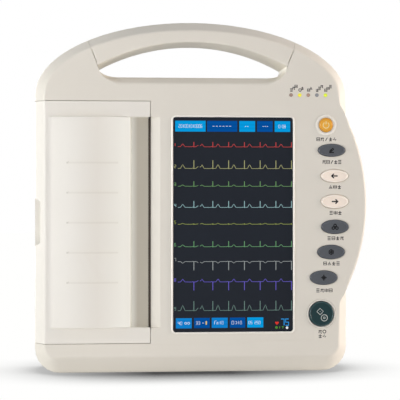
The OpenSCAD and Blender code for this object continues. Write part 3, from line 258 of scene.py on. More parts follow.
def dress(node, finish, edge=0.0):
    """Gives a CAD piece its finish, and rounds its edges a little, in millimetres."""
    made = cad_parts[node]
    made.material_slots[0].material = finish
    made.modifiers.new("joined corners", "WELD").merge_threshold = 1e-6
    if edge:
        rounded = made.modifiers.new("rounded edges", "BEVEL")
        rounded.width = edge * MM
        rounded.segments = 2
        rounded.limit_method = "ANGLE"
        rounded.angle_limit = math.radians(30)
    made.modifiers.new("even shading", "WEIGHTED_NORMAL").keep_sharp = True


# The spangle's crystals are 4 mm across; the ground steel's marks run round the bar.
galvanised = metal("galvanised sheet steel", "C3C7C8", "A4AAAD", 0.38, 4.0, kind="TexVoronoi")
ground_steel = metal("ground steel bar", "C9CACA", "B4B6B7", 0.2, 0.8, (1, 1, 0.2))
plated_can = metal("bright plated steel can", "B9BCBE", "9DA1A4", 0.32, 1.2, (1, 8, 1))
dress("printer_chassis", galvanised, 0.15)
dress("stepper_motor", plated_can, 0.4)
dress("idler_pin", ground_steel, 0.15)


# ---- Drive gears ----
# The motor's brass pinion is hobbed from bar. The idler and the platen's gear are moulded in
# natural acetal, a slightly clear ivory white with a waxy gloss.
# Size of the flow pattern and of the grain in a waxy material.
FLOW, GRAIN = 10.8, 0.9
turned_brass = metal("hobbed brass", "D9B56A", "C39B52", 0.26, 0.5, (1, 1, 0.15))


def waxy(name, colour, roughness, radius):
    """A plastic or rubber that lets light in by a radius in millimetres, with a faint flow pattern."""
    made, tree, place = new_finish(name)
    flow = add_node(tree, "TexNoise", {"Vector": place, "Scale": 1 / (FLOW * MM), "Detail": 3.0})
    tone = mix(tree, flow.outputs["Fac"], colour, darker(colour, 0.86))
    grit = add_node(tree, "TexNoise", {"Vector": place, "Scale": 1 / (GRAIN * MM)})
    bump = add_node(tree, "Bump", {"Height": grit.outputs["Fac"], "Strength": 0.25, "Distance": 0.02 * MM})
    surface(tree, {"Base Color": tone, "Roughness": roughness, "Normal": bump.outputs["Normal"], "IOR": 1.48,
                   "Subsurface Weight": 0.25, "Subsurface Radius": (radius, radius, radius),
                   "Subsurface Scale": MM})
    return made


acetal = waxy("natural acetal", "EFEDE4", 0.34, 1.2)
dress("motor_pinion", turned_brass, 0.08)
dress("idler_gear", acetal, 0.12)
dress("platen_gear", acetal, 0.12)


# ---- Paper tray, spindle and roll ----
# The tray is a grey ABS shell. The spindle carries a spiral-wound card core, and the roll on it is
# thermal paper: smooth white outside, with its layers showing as rings on both ends.
tray_abs = moulded("grey ABS tray", "A9ABA8", "A2A4A2", 0.5, 0.8, 0.03)
dress("paper_tray", tray_abs, 0.4)
dress("roll_spindle", acetal, 0.3)

# Place across and depth of the roll's axis.
ROLL_X, ROLL_Y = -85.0, 8.5


def from_roll(tree, place):
    """Coordinates that start on the roll's own axis."""
    shift = (-ROLL_X * MM, -ROLL_Y * MM, 0.0)
    return add_node(tree, "Mapping", {"Vector": place, "Location": shift}).outputs["Vector"]


card, tree, place = new_finish("spiral wound card")
fibre = add_node(tree, "TexNoise", {"Vector": from_roll(tree, place), "Scale": 1600.0, "Detail": 4.0})
tone = mix(tree, fibre.outputs["Fac"], "B39A78", "9A805E")
bump = add_node(tree, "Bump", {"Height": fibre.outputs["Fac"], "Strength": 0.5, "Distance": 0.06 * MM})
surface(tree, {"Base Color": tone, "Roughness": 0.88, "Normal": bump.outputs["Normal"]})
dress("paper_core", card, 0.1)

# Paper is 0.06 mm thick, too fine to show, so its rings are drawn at 0.7 mm. The wave texture repeats
# WAVE times in one unit at a scale of 1.
WAVE = 20
RING_PITCH = 0.7
thermal, tree, place = new_finish("coated thermal paper")
rings = add_node(tree, "TexWave", {"Vector": from_roll(tree, place), "Scale": 1 / (RING_PITCH * MM) / WAVE,
                                   "Distortion": 0.6, "Detail": 1.0},
                 wave_type="RINGS", rings_direction="Z", wave_profile="SAW")
side = add_node(tree, "SeparateXYZ", {"Vector": add_node(tree, "NewGeometry").outputs["Normal"]})
end_face = math_node(tree, "ABSOLUTE", side.outputs["Z"])
ring_share = math_node(tree, "MULTIPLY", rings.outputs["Fac"], end_face)
tone = mix(tree, ring_share, "F4F3EE", "D9D7CF")
tooth = add_node(tree, "TexNoise", {"Vector": place, "Scale": 2500.0})
bump = add_node(tree, "Bump", {"Height": tooth.outputs["Fac"], "Strength": 0.2, "Distance": 0.02 * MM})
surface(tree, {"Base Color": tone, "Roughness": 0.55, "Normal": bump.outputs["Normal"]})
dress("paper_roll", thermal, 0.2)


# ---- Print head ----
# A brown glazed ceramic strip with one darker line of heating dots, glued to an anodised sink.
# The sink swings on a ground steel pin, and three music wire springs press it on the platen.

# Depth and half width of the line of dots.
DOTS_Y, DOTS_HALF = -24.5, 0.6
ceramic, tree, place = new_finish("glazed alumina")
spot = add_node(tree, "SeparateXYZ", {"Vector": place})
off_line = math_node(tree, "SUBTRACT", spot.outputs["Y"], DOTS_Y * MM)
off_line = math_node(tree, "ABSOLUTE", off_line)
line = math_node(tree, "LESS_THAN", off_line, DOTS_HALF * MM)
speck = add_node(tree, "TexNoise", {"Vector": place, "Scale": 900.0, "Detail": 2.0})
base = mix(tree, speck.outputs["Fac"], "8A7562", "7A6653")
tone = mix(tree, line, base, "231D1A")
surface(tree, {"Base Color": tone, "Roughness": 0.12, "IOR": 1.6})
extruded = metal("brown anodised aluminium", "4A3B32", "41342C", 0.4, 1.0, (1, 1, 0.03), depth=0.03)
music_wire = metal("music wire", "8B8D8F", "6F7173", 0.3, 0.6)
dress("print_head", ceramic, 0.1)
dress("head_heatsink", extruded, 0.2)
dress("head_pivot_pin", ground_steel, 0.15)


def wire_bench(name, wire, lines, roundness):
    """A bench mesh of round wire along lines of x, y and z, each closed where it ends as it starts."""
    curve = bpy.data.curves.new(name, "CURVE")
    curve.dimensions = "3D"
    curve.bevel_depth = wire / 2
    curve.bevel_resolution = roundness
    curve.use_fill_caps = True
    for points in lines:
        closed = len(points) > 2 and points[0] == points[-1]
        points = points[:-1] if closed else points
        spline = curve.splines.new("POLY")
        spline.points.add(len(points) - 1)
        for point, place in zip(spline.points, points):
            point.co = (*place, 1)
        spline.use_cyclic_u = closed
    shape = bpy.data.objects.new(name, curve)
    mesh = bpy.data.meshes.new_from_object(shape)
    bpy.data.objects.remove(shape)
    bm = bmesh.new()
    bm.from_mesh(mesh)
    bmesh.ops.remove_doubles(bm, verts=bm.verts, dist=1e-5)
    bmesh.ops.recalc_face_normals(bm, faces=bm.faces)
    return bm


# Straight pieces in each turn of a coil.
COIL_STEPS = 20


def springs(node, centres, start, end, radius, wire, turns, body, finish):
    """Coil springs along x that stand for a node: their axes' y and z, and both ends, in millimetres."""
    # One turn at each end lies closed, and the others share the rest of the length.
    pitch = (end - start - 3 * wire) / (turns - 2)
    coils = []
    for y, z in centres:
        coil = []
        for i in range(turns * COIL_STEPS + 1):
            turn = i / COIL_STEPS
            open_turns = min(max(turn - 1, 0), turns - 2)
            along = open_turns * pitch + (turn - open_turns) * wire
            angle = turn * 2 * math.pi
            coil.append((start + wire / 2 + along,
                         y + radius * math.cos(angle), z + radius * math.sin(angle)))
        coils.append(coil)
    bm = wire_bench(node, wire, coils, 2)
    return to_piece(bm, node + "_coil", body, finish, [node], 60)


springs("head_springs", [(-20.5, z) for z in (87, 157, 227)], -36.1, -29.0, 2.15, 0.7, 6, "base", music_wire)


# ---- Boards, supply, battery and speaker ----
# Green solder mask over glass epoxy, with the black and silver parts that are soldered on it. The
# battery is four cells in shrunk blue sleeve, and the speaker has a black paper cone.
mask, tree, place = new_finish("green solder mask")
flat_on = add_node(tree, "Mapping", {"Vector": place, "Rotation": (math.radians(-90), 0, 0)})
tracks = add_node(tree, "TexBrick", {"Vector": flat_on.outputs["Vector"], "Scale": 1 / MM,
                                     "Color1": linear("1F5A3A"), "Color2": linear("286B45"),
                                     "Mortar": linear("3B7F55"), "Mortar Size": 0.35,
                                     "Brick Width": 7.0, "Row Height": 2.6})
surface(tree, {"Base Color": tracks.outputs["Color"], "Roughness": 0.3, "IOR": 1.5})
package = moulded("black epoxy package", "34363A", "2B2D30", 0.45, 0.5, 0.02)
# The depths between which each board's own laminate lies; all else on it is a package.
laminate = {"main_board": (-22.3, -20.5), "power_supply": (30.3, 32.1), "key_board": (-28.1, -26.3)}
for node, (low_y, high_y) in laminate.items():
    bm = bench_copy(node)
    for f in bm.faces:
        f.material_index = 0 if all(low_y < v.co.y < high_y for v in f.verts) else 1
    ease(bm, 0.2, lambda p, low, high: True, 1)
    to_piece(bm, node + "_populated", "base", [mask, package], [node])
sleeve = moulded("shrunk PVC sleeve", "2F5F92", "28548A", 0.28, 2.4, 0.08)
dress("battery_pack", sleeve, 0.8)
black_abs = moulded("black polyamide", "2B2B2D", "252527", 0.42, 0.6, 0.03)
dress("speaker", black_abs, 0.4)


# ---- Sockets in the right side ----
# A nickel plated D shell for the patient cable with its black contact block, two data sockets, the
# network socket, the black mains inlet and rocker switch, and the brass earth post screwed from inside.
nickel = metal("bright nickel plate", "CFCBC2", "BEB9AF", 0.22, 1.5)
contact_black = moulded("black PBT contact block", "26272A", "202124", 0.4, 0.5, 0.02)
brass_post = metal("turned brass", "D6B36B", "C8A158", 0.22, 0.6, (0.2, 1, 1))

# The contact block fills this part of the D shell's front, cut out of its faces here.
BLOCK_FRONT, BLOCK_Y, BLOCK_Z = 165, (6.6, 13.4), (204.5, 227.5)
bm = bench_copy("patient_socket")
for axis, ends in ((1, BLOCK_Y), (2, BLOCK_Z)):
    for end in ends:
        place, normal = Vector(), Vector()
        place[axis], normal[axis] = end, 1
        bmesh.ops.bisect_plane(bm, geom=bm.verts[:] + bm.edges[:] + bm.faces[:], dist=1e-4,
                               plane_co=place, plane_no=normal)
for f in bm.faces:
    middle = f.calc_center_median()
    inside = BLOCK_Y[0] < middle.y < BLOCK_Y[1] and BLOCK_Z[0] < middle.z < BLOCK_Z[1]
    f.material_index = 1 if middle.x > BLOCK_FRONT and inside else 0
to_piece(bm, "patient_socket_shell", "base", [nickel, contact_black], ["patient_socket"])
for node in ("data_sockets", "network_socket"):
    bm = bench_copy(node)
    for f in bm.faces:
        f.material_index = 1 if f.calc_center_median().x < SIDE_X - 0.6 else 0
    ease(bm, 0.15, lambda p, low, high: p.x > SIDE_X, 1)
    to_piece(bm, node + "_shell", "base", [nickel, contact_black], [node])
dress("mains_inlet", black_abs, 0.4)
dress("switch_frame", black_abs, 0.4)
dress("mains_switch", moulded("black rocker, polished", "303134", "2A2B2E", 0.28, 1.5, 0.01), 0.5)
dress("earth_post", brass_post, 0.25)


# ---- Key board, key mat and lamps ----
# The mat is one sheet of grey silicone with a carbon pill under each dome. The clear pipes bring each lamp
# through the casing: the second and the fifth are lit, and the others are off. The third lens still has a
# faint painted glow.
silicone = waxy("grey silicone sheet", "B9BBBC", 0.6, 0.8)
dress("key_mat", silicone, 0.15)
clear_epoxy = waxy("clear cast epoxy", "DCE3E4", 0.12, 2.0)
dress("led_lamps", clear_epoxy, 0.15)

# The first lamp's place across, and the lamps' pitch.
LAMP_X, LAMP_PITCH = 102.4, 9.05
LENSES = [("smoked", "A99080", 0.0), ("yellow lit", "E8DF3F", 0.34), ("amber", "B29480", 0.05),
          ("blue grey", "989B9C", 0.0), ("green lit", "D3E13B", 0.34)]
lens_finishes = []
for name, colour, glow in LENSES:
    # Each lens's colour darkens towards its rim as its face turns from the camera: painted shade.
    lens, tree, place = new_finish("cast acrylic lens, " + name)
    core = add_node(tree, "LayerWeight", {"Blend": 0.35})
    shade = mix(tree, core.outputs["Facing"], colour, darker(colour, 0.45))
    surface(tree, {"Base Color": shade, "Roughness": 0.14,
                   "Emission Color": linear(colour), "Emission Strength": glow})
    lens_finishes.append(lens)
bm = bench_copy("light_pipes")
for f in bm.faces:
    f.material_index = min(4, max(0, round((f.calc_center_median().x - LAMP_X) / LAMP_PITCH)))
ease(bm, 0.5, lambda p, low, high: p.y < FACE_Y - 0.3)
to_piece(bm, "light_pipe_lenses", "base", lens_finishes, ["light_pipes"])


# ---- Screen ----
# A liquid crystal panel in its steel case, a foam gasket, and cover glass bonded into the window. The
# glass is nearly black and has a faint blue reflection; what the panel shows is drawn on its face.
panel_steel = metal("brushed panel steel", "B4B7B9", "A2A5A8", 0.36, 0.9, (0.05, 1, 1))
foam = moulded("black polyurethane foam", "2A2A2B", "222223", 0.9, 0.8, 0.25)
cover_glass, tree, place = new_finish("coated cover glass")
haze = add_node(tree, "TexNoise", {"Vector": place, "Scale": 9.0, "Detail": 2.0})
deep = mix(tree, haze.outputs["Fac"], "20262F", "1B2029")
surface(tree, {"Base Color": deep, "Roughness": 0.05, "IOR": 1.5, "Specular IOR Level": 0.12})
dress("screen_panel", panel_steel, 0.3)
dress("screen_bracket", galvanised, 0.15)
dress("glass_gasket", foam)
dress("screen_glass", cover_glass, 0.2)


def drawn(name, lines, width, y, finish, body="base", rise=0.05):
    """Raised lines on a face at y: lists of x and z in millimetres, closed where one ends as it starts."""
    bm = wire_bench(name, width, [[(x, 0, z) for x, z in points] for points in lines], 1)
    bmesh.ops.scale(bm, vec=(1, 2 * rise / width, 1), verts=bm.verts)
    bmesh.ops.translate(bm, vec=(0, y, 0), verts=bm.verts)
    return to_piece(bm, name, body, finish, turn=80)


FILM = 0.05


def patches(name, outlines, y, finish):
    """Thin filled shapes on a face at y, each from a few corners in millimetres."""
    bm = bmesh.new()
    for outline in outlines:
        bm.faces.new([bm.verts.new((x, y, z)) for x, z in outline])
    lifted = bmesh.ops.extrude_face_region(bm, geom=bm.faces[:])["geom"]
    bmesh.ops.translate(bm, vec=(0, -FILM, 0), verts=[v for v in lifted if isinstance(v, bmesh.types.BMVert)])
    bmesh.ops.recalc_face_normals(bm, faces=bm.faces)
    return to_piece(bm, name, "base", finish)


CELL_PITCH = 0.6


def lit(name, colour):
    """Light from the panel, broken up by its rows of cells, drawn at 0.6 mm so that they can show."""
    made, tree, place = new_finish(name)
    rows = add_node(tree, "TexWave", {"Vector": place, "Scale": 1 / (CELL_PITCH * MM) / WAVE,
                                      "Distortion": 0.0}, bands_direction="Z")
    glow = mix(tree, rows.outputs["Fac"], colour, darker(colour, 0.88))
    surface(tree, {"Base Color": (0.0, 0.0, 0.0, 1.0), "Roughness": 0.1, "Specular IOR Level": 0.0,
                   "Emission Color": glow, "Emission Strength": 1.0})
    return made


# Depths of the glass's front and of the coloured boxes' on it, with the heights of the upper row's boxes.
GLASS_Y = -40.8
BOX_Y = GLASS_Y - FILM
TOP_ROW = (250.9, 262.2)


def block(x0, x1, z0, z1):
    return [(x0, z0), (x1, z0), (x1, z1), (x0, z1)]


def ring(x, z, r, start=0, end=360, steps=20):
    """Points round an arc, in degrees from the right; a whole ring closes on its first point."""
    turns = [start + (end - start) * i / steps for i in range(steps + 1)]
    points = [(x + r * math.cos(math.radians(a)), z + r * math.sin(math.radians(a))) for a in turns]
    return points[:-1] + points[:1] if end - start == 360 else points


# Strokes of each mark: pairs of a place across and a place up, which are looked up in ACROSS and UP.
ACROSS = {"0": 0.0, "1": 1.0, "5": 0.5}
UP = {"0": 0, "1": 0.5, "2": 1, "4": 0.25, "5": 0.35, "7": 0.65, "8": 0.75}
DIGITS = {"0": ["00 10 12 02 00"], "1": ["50 52"], "2": ["02 12 11 01 00 10"],
          "3": ["02 12 10 00", "01 11"], "4": ["02 01 11", "12 10"], "5": ["12 02 01 11 10 00"],
          "6": ["12 02 00 10 11 01"], "7": ["02 12 10"], "8": ["00 10 12 02 00", "01 11"],
          "9": ["11 01 02 12 10 00"], "-": ["01 11"], ":": ["54 55", "57 58"]}


def digits(row, x, z, wide, tall, pitch):
    """Plain seven stroke digits, from the lower left corner of the first."""
    lines = []
    for i, mark in enumerate(row):
        left = x + i * pitch
        for stroke in DIGITS[mark]:
            lines.append([(left + ACROSS[a] * wide, z + UP[b] * tall) for a, b in stroke.split()])
    return lines


def dash(x, z, wide):
    return [(x, z), (x + wide, z)]


# The beads round the window and the keys are polished in the tool, so their gloss catches the light, and
# their colour is lighter than the casing's as a painted highlight.
polished_painted_highlight_abs = moulded("cream ABS, polished beads, painted highlight", "F6F2E8", "F2EDE2", 0.3, 0.9, 0.01)
# Middles of the window's corners, each with the angle at which its quarter of the bead starts.
CORNERS = [(101.5, 263, 0), (-17.9, 263, 90), (-17.9, 46, 180), (101.5, 46, 270)]
BEAD_R = 3.85
bead = [point for x, z, start in CORNERS for point in ring(x, z, BEAD_R, start, start + 90, 8)]
drawn("screen_bead", [bead + [(CORNERS[0][0] + BEAD_R, CORNERS[0][1])]], 2.1, FACE_Y, polished_painted_highlight_abs, rise=0.9)

sky = lit("panel light, sky blue", "069BE0")
deep_blue = lit("panel light, deep blue", "04509E")
mid_blue = lit("panel light, mid blue", "1080CE")
white_light = lit("panel light, white", "F2F6FA")
patches("display_boxes_sky", [block(-18.5, 13.1, *TOP_ROW), block(48.3, 64.8, *TOP_ROW),
                              block(85.3, 101.6, *TOP_ROW), block(56.6, 73.4, 47.3, 57.9)], GLASS_Y, sky)
patches("display_boxes_deep", [block(14.7, 46.1, *TOP_ROW), block(66.9, 83.2, *TOP_ROW),
                               block(1.1, 17.4, 47.1, 57.7), block(38.4, 54.5, 47.2, 57.8)],
        GLASS_Y, deep_blue)
patches("display_boxes_mid", [block(-17.8, -1.3, 46.9, 57.5), block(19.5, 36.1, 47.2, 57.8)],
        GLASS_Y, mid_blue)
# Each number with its corner's x and z, its width, its height and its pitch.
NUMBERS = [("201001010006", -14.8, 255.0, 1.4, 3.3, 2.07), ("0:08", 89.4, 255.0, 1.5, 3.2, 1.95),
           ("10", 27.6, 51.0, 1.5, 3.2, 2.3), ("10", 46.9, 51.0, 1.5, 3.2, 2.3),
           ("05", 57.9, 51.0, 1.5, 3.0, 2.2), ("250", 64.3, 51.0, 1.5, 3.0, 2.2),
           ("40", -15.4, 50.6, 1.6, 3.2, 2.3), ("33", 3.2, 50.8, 1.5, 3.2, 2.5)]
drawn("display_numbers", [line for number in NUMBERS for line in digits(*number)], 0.4, BOX_Y, white_light)
# The boxes' other marks: the dashes of the upper row, then the lower row's signs from left to right.
upper_dashes = ([dash(20.4 + i * 3.45, 256.6, 2.0) for i in range(6)]
                + [dash(54.2, 256.5, 1.3), dash(56.5, 256.5, 1.3)]
                + [dash(72.6 + i * 2.2, 256.6, 1.3) for i in range(3)])
lower_signs = [ring(-7.6, 52.2, 1.1, steps=8), ring(-4.6, 52.2, 1.1, steps=8), dash(9.6, 52.4, 1.6),
               [(22.2, 50.8), (22.6, 54.2), (24.4, 54.8)],
               [(24.8, 50.9), (25.0, 53.2), (26.0, 53.0), (26.0, 50.9)],
               block(40.4, 42.6, 50.9, 54.2) + [(40.4, 50.9)], ring(44.4, 52.5, 1.4, -90, 90, 6)]
drawn("display_dashes", upper_dashes + lower_signs, 0.5, BOX_Y, white_light)
patches("display_note_mark", [block(13.1, 14.5, 50.6, 54.4)], BOX_Y, lit("panel light, amber", "E8C878"))
patches("display_heart", [[(87.7, 49.9), (89.6, 51.9), (89.5, 53.0), (88.6, 53.4), (87.7, 52.7), (86.8, 53.4),
                           (85.9, 53.0), (85.8, 51.9)]], GLASS_Y, lit("panel light, red", "E03A30"))
drawn("display_rate", digits("75", 92.1, 49.4, 3.1, 6.6, 4.7), 1.15, GLASS_Y,
      lit("panel light, rate blue", "2E9AE6"))
drawn("display_state", [ring(87.2, 47.2, 1.1, steps=8), dash(86.4, 47.2, 1.6), [(90.6, 46.2), (90.6, 48.3)],
                        dash(92.9, 48.0, 2.0), [(93.9, 48.2), (93.9, 46.2)]], 0.6, GLASS_Y,
      lit("panel light, green", "5FA63C"))
patches("display_spot", [ring(98.3, 46.9, 1.35, steps=10)[:-1]], GLASS_Y, white_light)

# Height of each trace, its light, the spike and the following wave, all in millimetres.
TRACES = [(235.2, "C44848", 5.0, 3.0), (212.7, "A9A978", 8.5, 4.0), (194.2, "6F9C66", 5.2, 1.5),
          (172.3, "93B8BC", 6.7, 3.4), (154.8, "8E9852", 1.0, 1.0), (131.5, "689C6E", 5.8, 2.1),
          (116.1, "9AA0A0", -9.0, -1.6), (95.0, "6A5FC4", -8.7, 2.9), (65.3, "6D8A82", 9.8, 5.6)]
# Each trace starts and ends at these places and is wiped from one to the other of the two between. The
# shapes are a distance from a beat and a share of the wave: the small rise before a beat and its end
# have a height of their own.
TRACE_START, WIPED_FROM, WIPED_TO, TRACE_END = -15.7, 5, 7.3, 104.2
BEATS = [-15.4, 0.92, 20.65, 37.15, 53.64, 70.1, 86.6, 103.0]
RESUMED = [(0, 0.3), (1.3, 0.6), (2.1, 1), (2.9, 0.6), (4.3, 0)]
EARLY_WAVE = [(3.9, 0.7), (4.8, 1), (5.7, 0.6)]
CUT_WAVE = [(3.4, 0.3), (4.6, 0.5)]
LATE_WAVE = [(4.6, 0.72), (5.4, 1), (6.1, 0.75)]
for i, (z, colour, spike, wave) in enumerate(TRACES):
    trace_light = lit("panel light, trace %d" % (i + 1), colour)
    before = [(TRACE_START, z)]
    after = [(WIPED_TO + a, z + wave * b) for a, b in RESUMED]
    spikes = []
    for x in BEATS:
        part = before if x < WIPED_FROM else after
        if x > BEATS[0]:
            part += [(x - 1.9, z), (x - 1.3, z + 0.45), (x - 0.7, z), (x + 0.8, z)]
            spikes.append([(x, z - math.copysign(0.4, spike)), (x, z + spike)])
        if x == BEATS[0]:
            start, shape, end = 2.4, EARLY_WAVE, [(x + 7.2, z + 0.1)]
        elif x < WIPED_FROM:
            start, shape, end = 2.2, CUT_WAVE, []
        else:
            start, shape, end = 3.2, LATE_WAVE, [(x + 7.6, z)]
        if x < BEATS[-1]:
            part += [(x + start, z + 0.1)] + [(x + a, z + wave * b) for a, b in shape] + end
    after = [p for p in after if p[0] < TRACE_END]
    label = digits(str(i + 1), -19.3, z + 0.6, 1.5, 3.0, 2.0)
    drawn("display_trace_%d" % (i + 1), [before, after] + label, 0.62, GLASS_Y, trace_light)
    drawn("display_beats_%d" % (i + 1), spikes, 0.78, GLASS_Y, trace_light)


# ---- Keys ----
# Moulded caps on the mat: slate grey for four of them, peach for the two arrows, orange for power with
# its own cream collar, and dark green for start. The marks on them are pad printed.
cap_ink = moulded("pad printed ink, black", "0E0F11", "0B0C0E", 0.6, 0.4, 0.01, 1.25)
white_ink = moulded("pad printed ink, white", "D9DDD6", "CDD2CB", 0.5, 0.4, 0.01)
pale_ink = moulded("pad printed ink, pale", "FBE9B8", "F6E1A8", 0.5, 0.4, 0.01)
collar_abs = moulded("cream collar ring", "E9E4D8", "E4DFD2", 0.45, 0.7, 0.02)
# Each kind of cap: its skin, its polished rim and its slot. Each rim's colour is painted light: lighter than
# its cap as a painted highlight, and darker on the orange cap as painted shade.
CAPS = {"orange": (moulded("orange cap", "F4B736", "EEAE2D", 0.38, 1.2, 0.02),
                   moulded("orange cap, polished rim, painted shade", "E09A26", "D89320", 0.16, 1.2, 0.005), "key_orange"),
        "slate": (moulded("slate grey cap", "4A4E54", "44484E", 0.38, 1.2, 0.02),
                  moulded("slate grey cap, polished rim, painted highlight", "565B62", "50555C", 0.16, 1.2, 0.005), "key_grey"),
        "peach": (moulded("peach cap", "FDF0E0", "F9EBDA", 0.42, 1.2, 0.02),
                  moulded("peach cap, polished rim, painted highlight", "FFF8EC", "FCF3E5", 0.16, 1.2, 0.005), "key_beige"),
        "green": (moulded("dark green cap", "0A3235", "092C2F", 0.36, 1.2, 0.02, 1.33),
                  moulded("dark green cap, polished rim, painted highlight", "1B4547", "183F41", 0.16, 1.2, 0.005), "key_green")}
# Each key: its middle's x and z, its width, its height and its cap.
KEYS = {"power": (139.1, 258.3, 14.5, 14.5, "orange"), "setup": (145.0, 231.9, 28.7, 12.9, "slate"),
        "previous": (148.0, 205.1, 28.8, 13.4, "peach"), "next": (148.3, 178.4, 29.0, 14.4, "peach"),
        "record": (148.6, 152.0, 29.0, 14.4, "slate"), "freeze": (144.5, 125.7, 29.0, 14.6, "slate"),
        "mark": (136.7, 99.0, 29.0, 14.6, "slate"), "start": (134.3, 61.3, 26.0, 26.0, "green")}
# Depth of the caps' dished faces, the depth past which an edge is on their front, and how far in from
# their outlines the polished rims lie.
CAP_Y, CAP_EDGE_Y, RIM_INSET = -42.8, -43.1, 1.0


def oval(p, x, z, wide, tall):
    """0 in the middle of a key and 1 on its outline."""
    return ((p.x - x) * 2 / wide) ** 2 + ((p.z - z) * 2 / tall) ** 2


for key, (x, z, wide, tall, cap) in KEYS.items():
    skin, polish_and_painted_light, slot = CAPS[cap]
    bm = bench_copy(key + "_key")
    ease(bm, 0.8, lambda p, low, high: p.y < CAP_EDGE_Y and oval(p, x, z, wide, tall) > 0.9)
    ease(bm, 0.3, lambda p, low, high: p.y < CAP_EDGE_Y and fronts(low)
         and oval(p, x, z, wide, tall) <= 0.9, 2)
    to_piece(bm, key + "_key_cap", key + "_key_body", skin, [key + "_key"])
    # The rim lies on the foremost edge of the cap.
    turns = [math.radians(a) for a in range(0, 360, 9)] + [0.0]
    across, up = wide / 2 - RIM_INSET, tall / 2 - RIM_INSET
    drawn(key + "_key_rim", [[(x + across * math.cos(a), z + up * math.sin(a)) for a in turns]], 1.1,
          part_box(key + "_key")[0][1] / MM + 0.05, polish_and_painted_light, key + "_key_body", 0.3)

drawn("start_key_bead", [ring(*KEYS["start"][:2], 14.4, steps=48)], 1.2, FACE_Y, polished_painted_highlight_abs, rise=0.5)
bm = bench_copy("power_key_collar")
ease(bm, 0.5, lambda p, low, high: p.y < FACE_Y - 0.5)
to_piece(bm, "power_collar_ring", "base", collar_abs, ["power_key_collar"])
drawn("power_collar_bead", [ring(*KEYS["power"][:2], 9.9, steps=40)], 1.5,
      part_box("power_key_collar")[0][1] / MM, polished_painted_highlight_abs, rise=0.35)


def around(key, *lines):
    """Lines given from a key's middle."""
    x, z = KEYS[key][:2]
    return [[(x + a, z + b) for a, b in line] for line in lines]


# The star on the freeze key: three bars with two barbs at each end.
BAR, BARB = 2.9, 1.6
bars = [[(math.cos(a) * r, math.sin(a) * r) for r in (-BAR, BAR)] for a in map(math.radians, (90, 30, 150))]
barbs = [[(math.cos(a + s) * BAR, math.sin(a + s) * BAR), (math.cos(a) * BARB, math.sin(a) * BARB)]
         for a in map(math.radians, range(30, 390, 60)) for s in (-0.35, 0.35)]
# Each key's mark: the width of its strokes, its ink and its strokes, from the key's middle.
MARKS = {
    "power": (1.0, pale_ink, ring(0, -0.2, 3.1, 125, 415, 24), [(0, 0.6), (0, 3.9)]),
    "setup": (1.4, cap_ink, [(-2.2, -1.7), (-1.6, -0.2), (1.2, 2.0), (2.2, 1.0), (-0.6, -1.2), (-2.2, -1.7)],
              [(-0.6, 0.2), (0.6, -0.4)], [(-2.6, -2.3), (2.4, -2.3)]),
    "previous": (1.55, cap_ink, [(-3.0, 0), (3.2, 0)], [(-0.7, 2.2), (-3.2, 0), (-0.7, -2.2)]),
    "next": (1.55, cap_ink, [(3.0, 0), (-3.2, 0)], [(0.7, 2.2), (3.2, 0), (0.7, -2.2)]),
    "record": (1.35, cap_ink, ring(0, 1.4, 1.35, steps=12), ring(-1.9, -1.3, 1.35, steps=12),
               ring(1.9, -1.3, 1.35, steps=12)),
    "freeze": (1.05, cap_ink, *bars, *barbs),
    "mark": (1.3, cap_ink, [(0, -3.1), (0, 3.1)], [(-3.0, 0), (3.0, 0)], [(-1.6, 1.4), (0, -0.2), (1.6, 1.4)],
             [(-1.6, -1.6), (0, 0), (1.6, -1.6)]),
    "start": (0.7, white_ink, [(-4.9, 2.4), (-1.5, 5.8), (1.9, 2.4), (-1.5, -1.0), (-4.9, 2.4)],
              [(-1.8, 2.4), (-1.2, 2.4)], ring(2.9, -4.2, 3.3, steps=20),
              block(2.1, 3.7, -5.0, -3.4) + [(2.1, -5.0)])}
for key, (width, ink, *lines) in MARKS.items():
    drawn(key + "_key_mark", around(key, *lines), width, CAP_Y, ink, key + "_key_body")


# ---- Printed marks on the casing ----
# Screen printed in dark grey brown, one row of small plain marks by each key and each lamp. Round the
# keys and over the lower edge runs a fine witness bead, left by the joints between the tool's inserts.
legend_ink = moulded("screen printed ink, umber", "2C2724", "26211F", 0.6, 0.4, 0.01)
# The strokes that the rows are made of, in shares of a mark's size.
STROKES = [[ring(0, 0, 0.42, steps=10)],
           [[(-0.4, -0.4), (-0.4, 0.4)], [(0, -0.45), (0, 0.45)], [(0.4, -0.4), (0.4, 0.4)]],
           [[(-0.42, -0.4), (0.42, -0.4), (0.42, 0.4), (-0.42, 0.4), (-0.42, -0.4)], [(-0.4, 0), (0.4, 0)]],
           [[(-0.45, -0.1), (-0.15, -0.1), (0.0, 0.45), (0.15, -0.4), (0.25, -0.1), (0.45, -0.1)]],
           [[(-0.42, -0.4), (0, 0.42), (0.42, -0.4), (-0.42, -0.4)], [(-0.2, -0.1), (0.2, -0.1)]],
           [[(-0.42, 0.4), (0.42, 0.4)], [(-0.42, 0.0), (0.42, 0.0)], [(-0.42, -0.42), (0.42, -0.42)]],
           [[(0, -0.45), (0, 0.45)], [(-0.45, 0.05), (0.45, 0.05)], [(-0.4, -0.42), (0.4, -0.42)]],
           [[(-0.42, 0.3), (0.42, 0.3)], [(-0.2, 0.3), (-0.35, -0.42)],
            [(0.2, 0.3), (0.2, -0.42), (0.42, -0.42)]]]


def legend(row, x, z, pitch, size, lean=0.0):
    """A row of small marks from x and z; each number picks its strokes, and a minus gives a slash."""
    lines = []
    for i, pick in enumerate(row):
        cx, cz = x + i * pitch * math.cos(lean), z + i * pitch * math.sin(lean)
        strokes = [[(-0.25, -0.45), (0.25, 0.45)]] if pick < 0 else STROKES[pick]
        lines += [[(cx + a * size, cz + b * size) for a, b in stroke] for stroke in strokes]
    return lines


